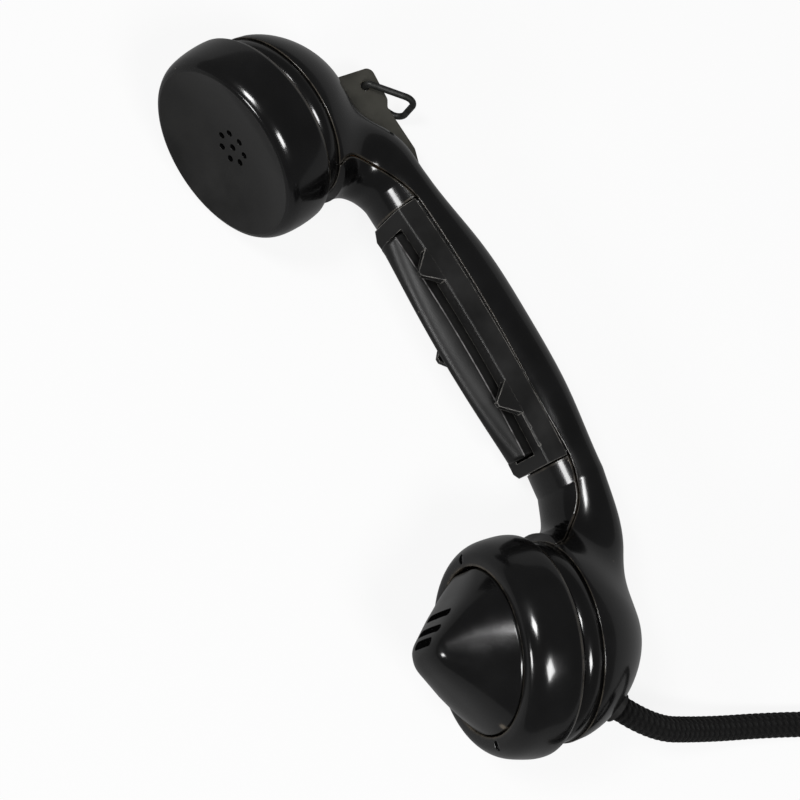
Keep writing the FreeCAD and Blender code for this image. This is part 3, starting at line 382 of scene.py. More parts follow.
def form_value(x, y, z):
    """Below zero inside the moulding: an elliptic grip, blended with the dome that is near it."""
    station, reach = grip_place(x, y)
    inner, outer, half = inner_reach(station), outer_reach(station), half_width(station)
    middle, deep = (inner + outer) / 2, (outer - inner) / 2
    value = (np.sqrt(((reach - middle) / deep) ** 2 + (z / half) ** 2) - 1) * np.minimum(deep, half)
    at_ear, at_mouth = (blended(value, dome_value(head, x, y, z)) for head in (ear, mouth))
    return np.where(station < EAR_SIDE, at_ear, np.where(station > MOUTH_SIDE, at_mouth, value))


print("value in the middle of the grip", form_value(np.array(90.0), np.array(44.0), np.array(0.0)).round(2))

# %% [markdown]
# ## Rows across the handle
#
# The form is read off by rays. Planes across the handset fan round the hollow of the ear neck, stand
# side by side along the grip, and fan round the mouth neck. In each plane rays go out from a middle
# point, and halving finds where the form ends on each. All rays of all rows are halved together.

# %% Rows and rays
NECK_SHARE, FARTHEST, WIDEST = 0.8, 80.0, 45.0


def find_zero(inside, low, high, halvings=30):
    """Halves the way between low, which is inside, and high until it meets the surface."""
    for _ in range(halvings):
        middle = (low + high) / 2
        kept = inside(middle)
        low, high = np.where(kept, middle, low), np.where(kept, high, middle)
    return low


def fan_rows(stations):
    """Start point, direction and middle distance of the section plane at each station. The middle moves
    from the grip's own to the head's axis over a share of the fan."""
    s = np.asarray(stations, float)
    angle = np.where(s <= 1, ear.fan * (s - 1), np.where(s <= 2, 0, mouth.fan * (s - 2)))
    way = np.stack([np.sin(angle), np.cos(angle)], -1)
    share = np.clip(s - 1, 0, 1)[:, None]
    start = ear.hollow * (1 - share) + mouth.hollow * share
    middle = (inner_reach(s) + outer_reach(s)) / 2
    for head, past in ((ear, 1 - s / NECK_SHARE), (mouth, (s - 3 + NECK_SHARE) / NECK_SHARE)):
        past = np.clip(past, 0, 1)
        middle = middle * (1 - past) + past * head.to_axis
    return start, way, middle


def ray_points(rows, angles, reach):
    """Points at a distance along the rays: angle 0 is the back of the grip, half a turn is the fingers'."""
    start, way, middle = rows
    out = middle[:, None] + reach * np.cos(angles)
    return start[:, None, :] + out[..., None] * way[:, None, :], reach * np.sin(angles), out


def surface(rows, angles):
    """Where each ray leaves the form, in upright millimetres."""
    def inside(reach):
        """Whether the form is still there at this distance, on the outer side of the hollow."""
        plane, z, out = ray_points(rows, angles, reach)
        return (form_value(plane[..., 0], plane[..., 1], z) < 0) & (out > 0)
    reach = find_zero(inside, np.zeros_like(angles), np.full_like(angles, FARTHEST))
    plane, z, _ = ray_points(rows, angles, reach)
    return np.concatenate([plane, z[..., None]], -1)


print("back and fingers' side of the grip's middle", surface(fan_rows([1.5]), np.array([[0, pi]])).round(2))

# %% [markdown]
# ## Parting line
#
# A moulded handset of this kind is pressed in parts that meet along a fine line. Seen from the side the
# line is one curve: a few points and a spline in each neck, and the key frame's arch between them. It
# could be cut by a boolean, but rows that end on it give each part a clean edge that can be rounded.

# %% Parting line
ARCH_CENTRE, ARCH_R = np.array([126.2, -523.9]), 557.0
FRAME_START, FRAME_END, FRAME_HEIGHT = 43.0, 138.6, 7.0
SEAM = 0.3


def on_arch(x, depth):
    """Point of the key frame's arch at a station, depth millimetres into the grip from its top."""
    angle = np.arcsin((np.asarray(x, float) - ARCH_CENTRE[0]) / ARCH_R)
    deeper = np.stack([np.sin(angle), np.cos(angle)], -1)
    return ARCH_CENTRE + (ARCH_R + np.asarray(depth))[..., None] * deeper


def spline_line(points, count=60):
    """Smooth line through a few points, as a spline over their running length."""
    points = np.asarray(points, float)
    run = np.concatenate([[0], np.cumsum(np.linalg.norm(np.diff(points, axis=0), axis=1))])
    at = np.linspace(0, run[-1], count)
    return np.stack([smooth_curve(run, points[:, i])(at) for i in range(2)], -1)


ear_foot, mouth_foot = (head.at(-head.band - SEAM, head.foot_u)[:2] for head in (ear, mouth))
ear_seam = spline_line([ear_foot, ear.at(-13.8, 26.4)[:2], [31.0, 29.2],
                        on_arch(FRAME_START - SEAM, FRAME_HEIGHT)])
mouth_seam = spline_line([on_arch(FRAME_END + SEAM, FRAME_HEIGHT), [149, 38], [156, 34], [160.4, 28.4],
                          mouth_foot])
frame_seam = on_arch(np.linspace(FRAME_START, FRAME_END, 90), FRAME_HEIGHT + SEAM / 2)
seam_line = np.vstack([ear_seam[:-1], frame_seam, mouth_seam[1:]])
seam_station, seam_reach = grip_place(seam_line[:, 0], seam_line[:, 1])


def seam_angle(rows, reach):
    """Angle of the ray that meets the surface where the seam crosses the row's plane."""
    start, way, middle = rows
    place = start + reach[:, None] * way
    z = find_zero(lambda z: form_value(place[:, 0], place[:, 1], z) < 0,
                  np.zeros(len(reach)), np.full(len(reach), WIDEST))
    return np.arctan2(z, reach - middle)


print("seam points", len(seam_line), "stations", seam_station[[0, -1]].round(3))

# %% [markdown]
# ## A moulded shell with rounded edges
#
# Each moulding is a wall, not a solid. Its outside is the surface above, its inside is that surface
# moved inwards, and the long edges along the seam are rounded, because the thin bright line of a real
# seam is the light on two rounded edges. The wall is one closed grid, so it has no open border.

# %% Shell
WALL, EDGE, EDGE_FOOT = 2.4, 0.4, 1.4
BOWS = np.radians([90, 60, 30, 0])
SEAM_WEAR, RIM_WEAR = 0.4, 0.6


def shell(points):
    """Closed grid round a wall: the outer grid, both long edges rounded, and the inner grid. The normal
    is the cross product of the grid's two directions, and the inside lies a wall's thickness along
    it. A long edge is moved back by its rounding and turned through a quarter circle."""
    normal = unit(np.cross(np.gradient(points, axis=0), np.gradient(points, axis=1)))
    if np.mean(np.sum((points - points.mean(1, keepdims=True)) * normal, -1)) < 0:
        normal = -normal
    bent = []
    for side, beside in ((0, 1), (-1, -2)):
        edge, out = points[:, side], normal[:, side]
        back = unit(points[:, beside] - edge)
        bent.append([edge - out * EDGE_FOOT]
                    + [edge + back * EDGE * (1 - sin(b)) - out * EDGE * (1 - cos(b)) for b in BOWS])
    outer, inner = points[:, 1:-1], (points - normal * WALL)[:, 1:-1]
    grid = np.concatenate([np.stack(bent[0], 1), outer, np.stack(bent[1][::-1], 1), inner[:, ::-1]], 1)
    rows, count = grid.shape[:2]
    lip, wide = len(BOWS) + 1, outer.shape[1]
    out_side = np.arange(lip, lip + wide)
    in_side = count - 1 - np.arange(wide)
    faces = grid_faces(rows, count).tolist()
    quads = np.stack([out_side[:-1], out_side[1:], in_side[1:], in_side[:-1]], -1)
    low = np.concatenate([np.arange(lip + 1), in_side[:1]])
    high = np.concatenate([np.arange(lip + wide - 1, 2 * lip + wide), in_side[-1:]])
    for row, sense in ((0, -1), (rows - 1, 1)):
        faces += [(np.array(face)[::sense] + row * count).tolist() for face in (*quads, low, high)]
    wear_and_highlight = np.zeros((rows, count))
    wear_and_highlight[:, 1:lip] = wear_and_highlight[:, lip + wide:lip + wide + len(BOWS)] = SEAM_WEAR
    wear_and_highlight[1:3, lip:lip + wide] = wear_and_highlight[-3:-1, lip:lip + wide] = RIM_WEAR
    return grid.reshape(-1, 3), faces, wear_and_highlight.ravel()


print("wall", WALL, "mm, edges rounded by", EDGE, "mm")

# %% [markdown]
# ## Rounded and turned parts
#
# A dome's edge and a screw band are turned parts: an outline carried once round the head's axis. A
# finished piece is often several such parts that stand in each other, so one helper joins them, turns
# the faces of each outwards, lays them on the table and keeps one number per point for the wear and the
# painted highlight lines.

# %% Rounded and turned parts
def foot_angle(head, past=0.0):
    """Angle round the head, from the grip's back, where its edge meets the parting line's foot, or a
    little past it."""
    return np.arccos(-(head.foot_u + past) / head.edge_r)


def base_rows(head, angles, back=0.0):
    """Rounded edge of a domed back, set back by a distance: a quarter circle turned about the head's
    axis, from the inside out."""
    bows = BOWS[:, None]
    r = head.edge_r - EDGE * (1 - np.cos(bows))
    n = -(head.band + back) - EDGE + EDGE * np.sin(bows)
    return head.at(n, -r * np.cos(angles), r * np.sin(angles))


def turned(head, outline, count=200):
    """Ring: a closed outline of (n, r) turned once about a head's axis."""
    outline, angle = np.asarray(outline, float), circle_angles(count)
    grid = head.at(outline[:, :1], outline[:, 1:] * np.cos(angle), outline[:, 1:] * np.sin(angle))
    faces = grid_faces(len(outline) + 1, count)
    return grid.reshape(-1, 3), (faces % (len(outline) * count)).tolist()


def outward(points, faces):
    """The faces, each turned round if the mesh's signed volume is below zero: the sum over all fans of
    the triple product of their corners."""
    fans = np.array([(f[0], f[i], f[i + 1]) for f in faces for i in range(1, len(f) - 1)])
    a, b, c = (points[fans[:, i]] for i in range(3))
    return [f[::-1] for f in faces] if np.sum(a * np.cross(b, c)) < 0 else faces


def laid_mesh(name, parts, smooth):
    """One object from several closed parts, each given by its points and faces, laid on the table."""
    points, faces, start = [], [], 0
    for part_points, part_faces in parts:
        part_points = lay(part_points)
        faces += [[i + start for i in face] for face in outward(part_points, part_faces)]
        points.append(part_points)
        start += len(part_points)
    return make_mesh(name, np.vstack(points), faces, smooth)


def moulding(name, parts, body="handset"):
    """Piece on a body from parts of points, faces and wear with painted highlight lines, which is kept as one
    number per point.
    """
    piece = laid_mesh(name, [part[:2] for part in parts], smooth=True)
    wear_and_highlight = np.concatenate([np.broadcast_to(wear, len(points)) for points, _, wear in parts])
    piece.data.attributes.new("wear_and_highlight", "FLOAT", "POINT").data.foreach_set("value", wear_and_highlight.astype(np.float32))
    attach(piece, body)
    print(name, "points", len(wear_and_highlight), "faces", len(piece.data.polygons))
    return piece


print("foot of the parting line at", np.degrees([foot_angle(ear), foot_angle(mouth)]).round(1), "degrees")

# %% [markdown]
# ## Handle
#
# The handle is everything on the back side of the seam: both domes, the grip and the bands that the
# caps screw against. Its rows run from one head's edge to the other's.

# %% Handle
BAND_STEP, BAND_THICK, BAND_INSIDE, BAND_FRONT = 0.35, 3, 1.5, -1.3
LEDGE_GAP, LEDGE_THICK, LEDGE_IN, LEDGE_OUT, LEDGE_SHORT = 0.05, 2, 10.6, 12.45, 0.5
stations = np.concatenate([np.linspace(0.03, 1, 100), np.linspace(1, 2, 120)[1:-1],
                           np.linspace(2, 2.97, 110)])
rows = fan_rows(stations)
seam_at = seam_angle(rows, np.interp(stations, seam_station, seam_reach))
spread = np.linspace(-1, 1, 130)
ear_rim, mouth_rim = (base_rows(head, foot_angle(head) * spread) for head in (ear, mouth))
handle_grid = np.concatenate([ear_rim, surface(rows, seam_at[:, None] * spread), mouth_rim[::-1]])


def band(head):
    """Ring that a cap screws against: a step inside the moulded edge, from inside the dome to the cap."""
    r, foot = head.edge_r - BAND_STEP, -head.band - BAND_INSIDE
    outline = [(foot, r - BAND_THICK), (foot, r), (BAND_FRONT, r), (BAND_FRONT, r - BAND_THICK)]
    return *turned(head, outline), 0.0


def ledge(side):
    """Bar under one long edge of the key frame, which closes the gap between the frame and the wall."""
    x = np.linspace(FRAME_START + LEDGE_SHORT, FRAME_END - LEDGE_SHORT, 90)
    high, low = FRAME_HEIGHT + LEDGE_GAP, FRAME_HEIGHT + LEDGE_THICK
    corners = [(high, LEDGE_IN), (low, LEDGE_IN), (low, LEDGE_OUT), (high, LEDGE_OUT)]
    grid = np.stack([np.column_stack([on_arch(x, depth), np.full(len(x), side * z)])
                     for depth, z in corners], 1)
    return grid.reshape(-1, 3), tube_faces(len(x), len(corners)), 0.0


handle = moulding("handle_moulding", [shell(handle_grid), band(ear), band(mouth), ledge(1), ledge(-1)])
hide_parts("handle_body")

# %% [markdown]
# ## Neck covers
#
# A separate moulding closes the fingers' side of each neck, between the head and the key's frame. It is
# the same surface on the other side of the seam, kept back from it by the joint's width, so the two
# mouldings meet as one form with a fine line between them.

# %% Neck covers
COVER_TURNS, COVER_SPREAD = 24, np.linspace(-1, 1, 60)
COVER_FOOT, COVER_MIDDLE = -10.0, 20.0


def seam_crossing(start, way):
    """Distance along each row's plane to the seam, between the two seam points that lie nearest to it."""
    crossing = (seam_line[None, :, 0] - start[:, None, 0]) * way[:, None, 1] \
        - (seam_line[None, :, 1] - start[:, None, 1]) * way[:, None, 0]
    ahead = ((seam_line[None] - start[:, None]) @ way[..., None])[..., 0]
    distance = np.where(ahead > 0, np.abs(crossing), 1e3)
    nearest = np.argsort(distance, axis=1)[:, :2]
    off, reach = np.take_along_axis(distance, nearest, 1), np.take_along_axis(ahead, nearest, 1)
    return (reach[:, 0] * off[:, 1] + reach[:, 1] * off[:, 0]) / off.sum(1)


def cover(name, head, stations, end_x, node_name):
    """Shell of one neck cover, from the head's edge to the end face of the key frame. Its last rows turn
    from the fan's planes to the plane square to the arch."""
    start, way, middle = fan_rows(stations)
    last = on_arch(end_x, COVER_FOOT)
    end_way = unit(on_arch(end_x, 0) - last)
    share = np.linspace(0, 1, COVER_TURNS + 1)[1:, None]
    start = np.vstack([start, start[-1] * (1 - share) + last * share])
    way = np.vstack([way, unit(way[-1] * (1 - share) + end_way * share)])
    middle = np.concatenate([middle, middle[-1] * (1 - share[:, 0]) + COVER_MIDDLE * share[:, 0]])
    rows = (start, way, middle)
    seam_at = seam_angle(rows, seam_crossing(start, way) - SEAM)
    front = surface(rows, pi + (pi - seam_at[:, None]) * COVER_SPREAD)
    foot = pi + (pi - foot_angle(head, SEAM)) * COVER_SPREAD
    piece = moulding(name, [shell(np.concatenate([base_rows(head, foot, SEAM), front]))])
    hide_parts(node_name)
    return piece


ear_cover = cover("ear_neck_moulding", ear, np.linspace(0.05, 1, 90), FRAME_START - SEAM, "ear_neck_cover")
mouth_cover = cover("mouth_neck_moulding", mouth, np.linspace(2.95, 2, 90), FRAME_END + SEAM,
                    "mouth_neck_cover")

# %% [markdown]
# ## Cutting holes
#
# Sound holes, slots and spanner notches go through a finished wall. A boolean takes a cutter away from
# the piece, and its result is kept as the piece's own mesh, so nothing is left to work out later.

# %% Helpers for cuts
def keep_result(piece):
    """The mesh that a piece's modifiers make becomes its own."""
    bpy.context.view_layer.update()
    made = bpy.data.meshes.new_from_object(piece.evaluated_get(bpy.context.evaluated_depsgraph_get()))
    piece.modifiers.clear()
    piece.data = made
    print(piece.name, "faces left", len(made.polygons))


def cut(piece, parts, name):
    """Takes closed parts, given as points and faces in upright millimetres, away from a piece."""
    cutter = laid_mesh(name, parts, smooth=False)
    taken = piece.modifiers.new("taken away", "BOOLEAN")
    taken.operation, taken.object, taken.solver = "DIFFERENCE", cutter, "EXACT"
    keep_result(piece)
    bpy.data.objects.remove(cutter)


def bar_between(low, high, radius, count=14, wide=0.0, way=(0, 0, 1.0)):
    """Closed bar from one point to another, round, or with its two halves moved apart along a way."""
    low, high, way = (np.asarray(v, float) for v in (low, high, way))
    across = unit(np.cross(unit(high - low), way))
    angle = circle_angles(count)
    ring = radius * (np.cos(angle)[:, None] * across + np.sin(angle)[:, None] * way)
    ring += wide * np.sign(np.round(np.sin(angle), 6))[:, None] * way
    return np.vstack([low + ring, high + ring]), tube_faces(2, count)


print("faces of a round bar", len(bar_between([0, 0, 0], [1, 0, 0], 1)[1]))

# %% [markdown]
# ## Caps of the two heads
#
# Each cap is a turned ring with a belly: it swells a little behind its lip and rounds over to its front.
# The belly is what makes a window's reflection a short oval on it, where a straight side would give a
# long streak. A smooth curve through a few radii gives the outline, which is turned about the axis.

# %% Ear cap
CAP_SIDES = 220


def belly(places, radii, count=36):
    """Smooth outline through a few radii, as (n, r) pairs."""
    n = np.linspace(places[0], places[-1], count)
    return list(zip(n, smooth_curve(np.array(places, float), np.array(radii, float))(n)))


def wear_near(values, middle, width):
    """Wear that falls off as exp(-((value - middle) / width)^2)."""
    return np.exp(-((values - middle) / width) ** 2)


DISH_R, DISH_FOOT, DISH_RIM = 83.7, 11.5, 28.9
dish = [(DISH_FOOT + DISH_R - np.sqrt(DISH_R ** 2 - r ** 2), r) for r in np.linspace(DISH_RIM, 0.05, 60)]
ear_outline = np.array(
    [(-0.9, 28.1), (-0.9, 31.3), (-0.7, 31.6), (-0.2, 31.85), (0.0, 32.0), (0.4, 32.35)]
    + belly([1, 3, 6, 9, 12, 14, 15.2], [32.7, 32.85, 32.85, 32.65, 32.2, 31.6, 30.9])
    + [(15.75, 30.5), (16.15, 30.0), (16.35, 29.6), (16.4, 29.2)] + dish
    + [(8.6, 0.05), (8.6, 25.0), (8.2, 25.6), (7.6, 28.1)])
lip_wear = np.repeat(wear_near(ear_outline[:, 0], 0.1, 0.35), CAP_SIDES)
ear_cap = moulding("ear_cap_moulding", [(*turned(ear, ear_outline, CAP_SIDES), lip_wear)])
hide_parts("ear_cap")
EAR_HOLES, EAR_CIRCLE, EAR_FIRST, EAR_HOLE_R = 7, 5.3, radians(-21.7), 1.15
HOLE_FROM, HOLE_TO = 7.0, 20.0
hole_turn = EAR_FIRST + 2 * pi * np.arange(EAR_HOLES) / EAR_HOLES
hole_at = [(0.0, 0.0), *zip(EAR_CIRCLE * np.cos(hole_turn), EAR_CIRCLE * np.sin(hole_turn))]
cut(ear_cap, [bar_between(ear.at(HOLE_FROM, u, z), ear.at(HOLE_TO, u, z), EAR_HOLE_R) for u, z in hole_at],
    "ear holes")

# %% [markdown]
# ## Ring round the mouthpiece
#
# A screwed ring holds the mouthpiece, with two notches in its front for a spanner. It has the same kind
# of belly as the ear cap. Hands rub its inner lip on one side only, so that wear fades out round the
# ring, where an even bright circle would look painted on.

# %% Mouth ring
INSERT_R, RING_FRONT = 26.0, 16.2
NOTCH_R, NOTCH_WIDE, NOTCH_DEEP, NOTCH_OUT, NOTCH_AT = 0.9, 0.7, 1.0, 2.0, 29.0
RUBBED_AT, RUBBED_WIDE = 52, 32  # degrees round the ring
ring_outline = np.array(
    [(-0.9, 30.2), (-0.9, 33.2), (-0.6, 33.6), (-0.1, 33.8), (0.1, 33.9), (0.5, 34.35)]
    + belly([1, 3, 6, 9, 12, 14, 15.3], [34.6, 34.8, 34.55, 34.05, 33.2, 32.05, 30.85])
    + [(15.8, 30.2), (16.1, 29.4), (16.2, 28.7), (16.2, 27.3), (16.15, 26.6), (16.0, 26.3), (15.6, 26.2)]
    + [(13.0, 26.2), (13.0, 28.9), (6.9, 28.9), (6.9, 30.2)])
n, r = ring_outline.T
way_round = np.tile(np.degrees(circle_angles(CAP_SIDES)), len(ring_outline))
lips = np.repeat(wear_near(n, 0.2, 0.35) + wear_near(r, 26.3, 0.3), CAP_SIDES)
rubbed = np.repeat(wear_near(r, 26.6, 0.4) * (n > 15), CAP_SIDES)
ring_wear = np.clip(lips + rubbed * wear_near(way_round, RUBBED_AT, RUBBED_WIDE), 0, 1)
mouth_ring = moulding("mouth_ring_moulding", [(*turned(mouth, ring_outline, CAP_SIDES), ring_wear)])
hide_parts("mouth_ring")
notches = [bar_between(mouth.at(RING_FRONT - NOTCH_DEEP, u), mouth.at(RING_FRONT + NOTCH_OUT, u), NOTCH_R, 16,
                       wide=NOTCH_WIDE, way=mouth.across) for u in (-NOTCH_AT, NOTCH_AT)]
cut(mouth_ring, notches, "spanner notches")

# %% [markdown]
# ## Mouthpiece
#
# The snout starts as the round collar in the ring and narrows to a blunt edge across it, and its upper
# side is one slanting face with three slots. As with the handle, one formula gives it: a cone whose
# sections turn from a circle to an oblong, cut by the face and the tip with soft edges. Its ridge is
# then rounded, as in a moulding, where a loft with a plane cut would leave it sharp. A small chip in
# the collar's edge shows the brown filler.

# %% Mouthpiece
FACE_FOOT, FACE_TOP = np.array([16.5, 24.5]), np.array([38.2, 2.0])
face_way = unit(FACE_TOP - FACE_FOOT)
face_out = np.array([-face_way[1], face_way[0]])
FOOT_R, SNOUT_BASE, SNOUT_TIP = 25.7, 16.2, 36.1
TIP_HALF, TIP_DEEP, TIP_U, TIP_BLEND = 8.4, 3.2, 1.4, 3.5
RIDGE_LOW, RIDGE_RISE, RIDGE_RUN = 0.5, 1.9, 7
COLLAR_GAP, FLANGE_N = 0.05, 10.8


def snout_value(n, u, z):
    """Below zero inside: a cone whose section at a share s of its height is an oval of half widths that
    shrink evenly and of a power that rises from 2, cut by the face and the tip with rounded edges."""
    s = np.clip((n - SNOUT_BASE) / (SNOUT_TIP - SNOUT_BASE), -0.2, 1.1)
    across, deep = FOOT_R + (TIP_HALF - FOOT_R) * s, FOOT_R + (TIP_DEEP - FOOT_R) * s
    power = 2 + 0.7 * np.clip(2 * s, 0, 1)
    oval = (np.abs(z) / across) ** power + (np.abs(u - TIP_U * s) / deep) ** power
    cone = (oval ** (1 / power) - 1) * deep
    face = (n - FACE_FOOT[0]) * face_out[0] + (u - FACE_FOOT[1]) * face_out[1]
    cone = -blended(-cone, -face, RIDGE_LOW + RIDGE_RISE * np.clip((n - SNOUT_BASE) / RIDGE_RUN, 0, 1))
    cone = -blended(-cone, SNOUT_TIP - n, TIP_BLEND)
    return np.where(n < SNOUT_BASE + 0.02, np.hypot(u, z) - INSERT_R + COLLAR_GAP, cone)


FROM_N, SIDES, FARTHEST_OUT = 13.0, 240, 60.0
lean = np.radians(np.concatenate([np.linspace(0.6, 60, 130), np.linspace(60, 82.5, 60)[1:]]))[:, None]
round_way = circle_angles(SIDES)


def snout_ray(reach):
    """Places along rays that lean away from the head's axis by one angle and turn round it by another."""
    out = reach * np.sin(lean)
    return FROM_N + reach * np.cos(lean), out * np.cos(round_way), out * np.sin(round_way)


reach = find_zero(lambda reach: snout_value(*snout_ray(reach)) < 0, np.zeros((len(lean), SIDES)),
                  np.full((len(lean), SIDES), FARTHEST_OUT))
grid = mouth.at(*snout_ray(reach))
collar, flange = (mouth.at(n, r * np.cos(round_way), r * np.sin(round_way))
                  for n, r in ((FROM_N, INSERT_R - COLLAR_GAP), (FLANGE_N, INSERT_R)))
points = np.vstack([grid.reshape(-1, 3), collar, flange, grid[0].mean(0), mouth.at(FLANGE_N, 0.0)])
top, bottom, last = len(points) - 2, len(points) - 1, len(points) - 2 - SIDES
faces = grid_faces(len(lean) + 2, SIDES).tolist() + [[top, (i + 1) % SIDES, i] for i in range(SIDES)]
faces += [[bottom, last + i, last + (i + 1) % SIDES] for i in range(SIDES)]

CHIP_N, CHIP_R, CHIP_TURN, CHIP_SIZE, CHIP_WEAR = 16.9, 25.0, radians(163), 0.8, 2.5
chip_at = mouth.at(CHIP_N, CHIP_R * cos(CHIP_TURN), CHIP_R * sin(CHIP_TURN))
chip = CHIP_WEAR * wear_near(np.linalg.norm(points - chip_at, axis=1), 0, CHIP_SIZE)
snout = moulding("mouthpiece_moulding", [(points, faces, chip)])
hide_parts("mouthpiece")

# %% [markdown]
# ## Sound slots
#
# Three slots with round ends go square into the slanting face. Each cutter is a round bar whose two
# halves are moved apart, so that both ends of the slot are half circles.

# %% Sound slots
SLOT_R, SLOT_DEEP, SLOT_OUT = 1.5, 4.5, 4
slots = []
for place, half in ((16.4, 7.8), (22.4, 7.4), (26.9, 5.6)):
    at = FACE_FOOT + face_way * place
    slots.append(bar_between(mouth.at(*(at - face_out * SLOT_DEEP)), mouth.at(*(at + face_out * SLOT_OUT)),
                             SLOT_R, 20, wide=half - SLOT_R))
cut(snout, slots, "mouth slots")

# %% [markdown]
# ## Talk key
#
# The finger lies on a long bar with a high crown. Its section is two upright sides and a crown that
# starts with a visible edge, and the crown falls away to both ends in one flat curve. A light line is painted
# along that edge as its highlight.

# %% Talk key
KEY_START, KEY_END, KEY_HALF, KEY_EDGE, KEY_FOOT, KEY_ROUND = 49.3, 133.2, 5.0, 3.1, 4.5, 0.9
CROWN, CROWN_FALL, CROWN_AT, CROWN_POWER = 6.1, 0.0022, 91.5, 0.8
SIDE_DEPTHS = (KEY_FOOT, 0.0, -KEY_EDGE + 0.5, -KEY_EDGE + 0.25)
# columns of the crown's edge, where a light line is painted as the edge's highlight
HIGHLIGHT_COLUMNS = [3, 4, -5, -4]


def key_bar():
    """Rows of a closed section: foot, side, edge with a painted highlight line, crown, and back. The crown's
    height goes as (1 - (z / half)^2)^0.8 across the key, and falls with the square of the distance from its
    crest."""
    bow = KEY_ROUND * (1 - np.cos(np.radians([0, 30, 60])))
    x = np.concatenate([KEY_START + bow, np.linspace(KEY_START + KEY_ROUND, KEY_END - KEY_ROUND, 160),
                        KEY_END - bow[::-1]])
    to_end = np.minimum(x - KEY_START, KEY_END - x)
    shrink = KEY_ROUND - np.sqrt(np.maximum(KEY_ROUND ** 2 - np.maximum(KEY_ROUND - to_end, 0) ** 2, 0))
    crest = CROWN - CROWN_FALL * (x - CROWN_AT) ** 2
    z = np.sin(np.linspace(-pi / 2, pi / 2, 41))
    height = crest[:, None] * np.maximum(1 - z ** 2, 0)[None, :] ** CROWN_POWER
    edge = KEY_HALF - shrink[:, None]
    sides = [np.full((len(x), 1), depth) for depth in SIDE_DEPTHS]
    crown = (-KEY_EDGE - height + shrink[:, None], z[None, :] * edge)
    columns = [(depth, -edge) for depth in sides] + [crown] + [(depth, edge) for depth in sides[::-1]]
    grid = np.concatenate([np.dstack([on_arch(x[:, None], depth), across]) for depth, across in columns], 1)
    wear_and_highlight = np.zeros(grid.shape[:2])
    # the edge columns carry a painted highlight line, light grey in the key's finish
    wear_and_highlight[:, HIGHLIGHT_COLUMNS] = 1.0
    return grid.reshape(-1, 3), tube_faces(*grid.shape[:2]), wear_and_highlight.ravel()


def across_grip(x, depth, z=0.0):
    """Point of the arch at a station and a depth, z across the handset."""
    return [*on_arch(x, depth), z]


PLUNGER_X, PLUNGER_R, PLUNGER_FOOT = 118.0, 2.4, 9.6
plunger_ends = (across_grip(PLUNGER_X, depth) for depth in (KEY_FOOT - 1, PLUNGER_FOOT))
plunger = bar_between(*plunger_ends, PLUNGER_R, 40)
talk_key = moulding("talk_key_moulding", [key_bar(), (*plunger, 0.0)], body="talk_key")
PIN_X, PIN_DEPTH, PIN_HOLE_R, PIN_HALF = 52.6, 2.4, 1.3, 9.0
SCREWS, SCREW_ROOM_R, SCREW_ROOM = (56.0, 127.0), 3.2, (KEY_FOOT - 1.2, KEY_FOOT + 1.0)
pin_hole = bar_between(*(across_grip(PIN_X, PIN_DEPTH, z) for z in (-PIN_HALF, PIN_HALF)), PIN_HOLE_R, 32,
                       way=(1, 0, 0))
rooms = [bar_between(*(across_grip(x, depth) for depth in SCREW_ROOM), SCREW_ROOM_R, 32) for x in SCREWS]
cut(talk_key, [pin_hole, *rooms], "pin hole and screw rooms")
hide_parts("talk_key")

# %% [markdown]
# ## Key frame
#
# The frame is a separate moulding with small radii on all its edges, and two of its corners are cut
# off. Its plan is kept, so the drawn mesh is copied, the corners are taken away and the edges are
# rounded by a bevel, which leaves the flat sides flat.

# %% Key frame
CORNER_TOP, CORNER_FOOT = -7.0, 9.0
BEVEL, BEVEL_STEPS, BEVEL_ANGLE = 0.0005, 3, radians(33)


def corner_cut(x_end, x_side, z_end, z_side):
    """Closed wedge over a corner of the frame's plan: a triangle carried from above it to below it."""
    beyond = x_end - np.sign(x_side - x_end) * 1.0, z_side + np.sign(z_side - z_end) * 1.5
    plan = [beyond, (x_side, beyond[1]), (x_side, z_side), (x_end, z_end), (beyond[0], z_end)]
    points = [across_grip(x, depth, z) for depth in (CORNER_TOP, CORNER_FOOT) for x, z in plan]
    return np.array(points), tube_faces(2, len(plan))


def copy_of(node_name, name, smooth=False):
    """New piece with the mesh of a drawn one."""
    drawn = nodes[node_name]
    turn, shift = np.array(drawn.matrix_world.to_3x3()), np.array(drawn.matrix_world.translation)
    places = numbers_of(drawn.data.vertices, "co") @ turn.T + shift
    return make_mesh(name, places, [list(p.vertices) for p in drawn.data.polygons], smooth)


frame_piece = copy_of("key_frame", "key_frame_moulding", smooth=True)
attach(frame_piece, "handset")
cut(frame_piece, [corner_cut(FRAME_START, FRAME_START + 4.0, -7.5, -11.2),
                  corner_cut(FRAME_END, FRAME_END - 2.6, -8.5, -11.2)], "frame corners")
bevel = frame_piece.modifiers.new("rounding", "BEVEL")
bevel.width, bevel.segments, bevel.limit_method, bevel.angle_limit = BEVEL, BEVEL_STEPS, "ANGLE", BEVEL_ANGLE
frame_piece.modifiers.new("even shine", "WEIGHTED_NORMAL")
keep_result(frame_piece)
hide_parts("key_frame")

# %% [markdown]
# ## Springs under the key
#
# Two springs sit under the key: the bowed leaf, which flattens when the key goes down, and the moving
# contact leaf, which is pushed down at its free end. Both are plain copies of the drawn meshes, and the bowed
# leaf rides on the handset.

# %% Springs under the key
spring = copy_of("key_spring", "key_spring_leaf")
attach(spring, "handset")
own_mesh(spring)
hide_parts("key_spring")
leaf = copy_of("moving_contact_leaf", "moving_contact_leaf_blade")
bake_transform(leaf)
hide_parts("moving_contact_leaf")

# %% [markdown]
# ## How a finish is made
#
# Nothing on a used handset has one even colour. Every finish here is two colours and two roughnesses
# that noise mixes, with fine grain as bump. The noise reads Object coordinates, which are metres, so
# its scale is the number of patches per metre and stays the same on every piece.

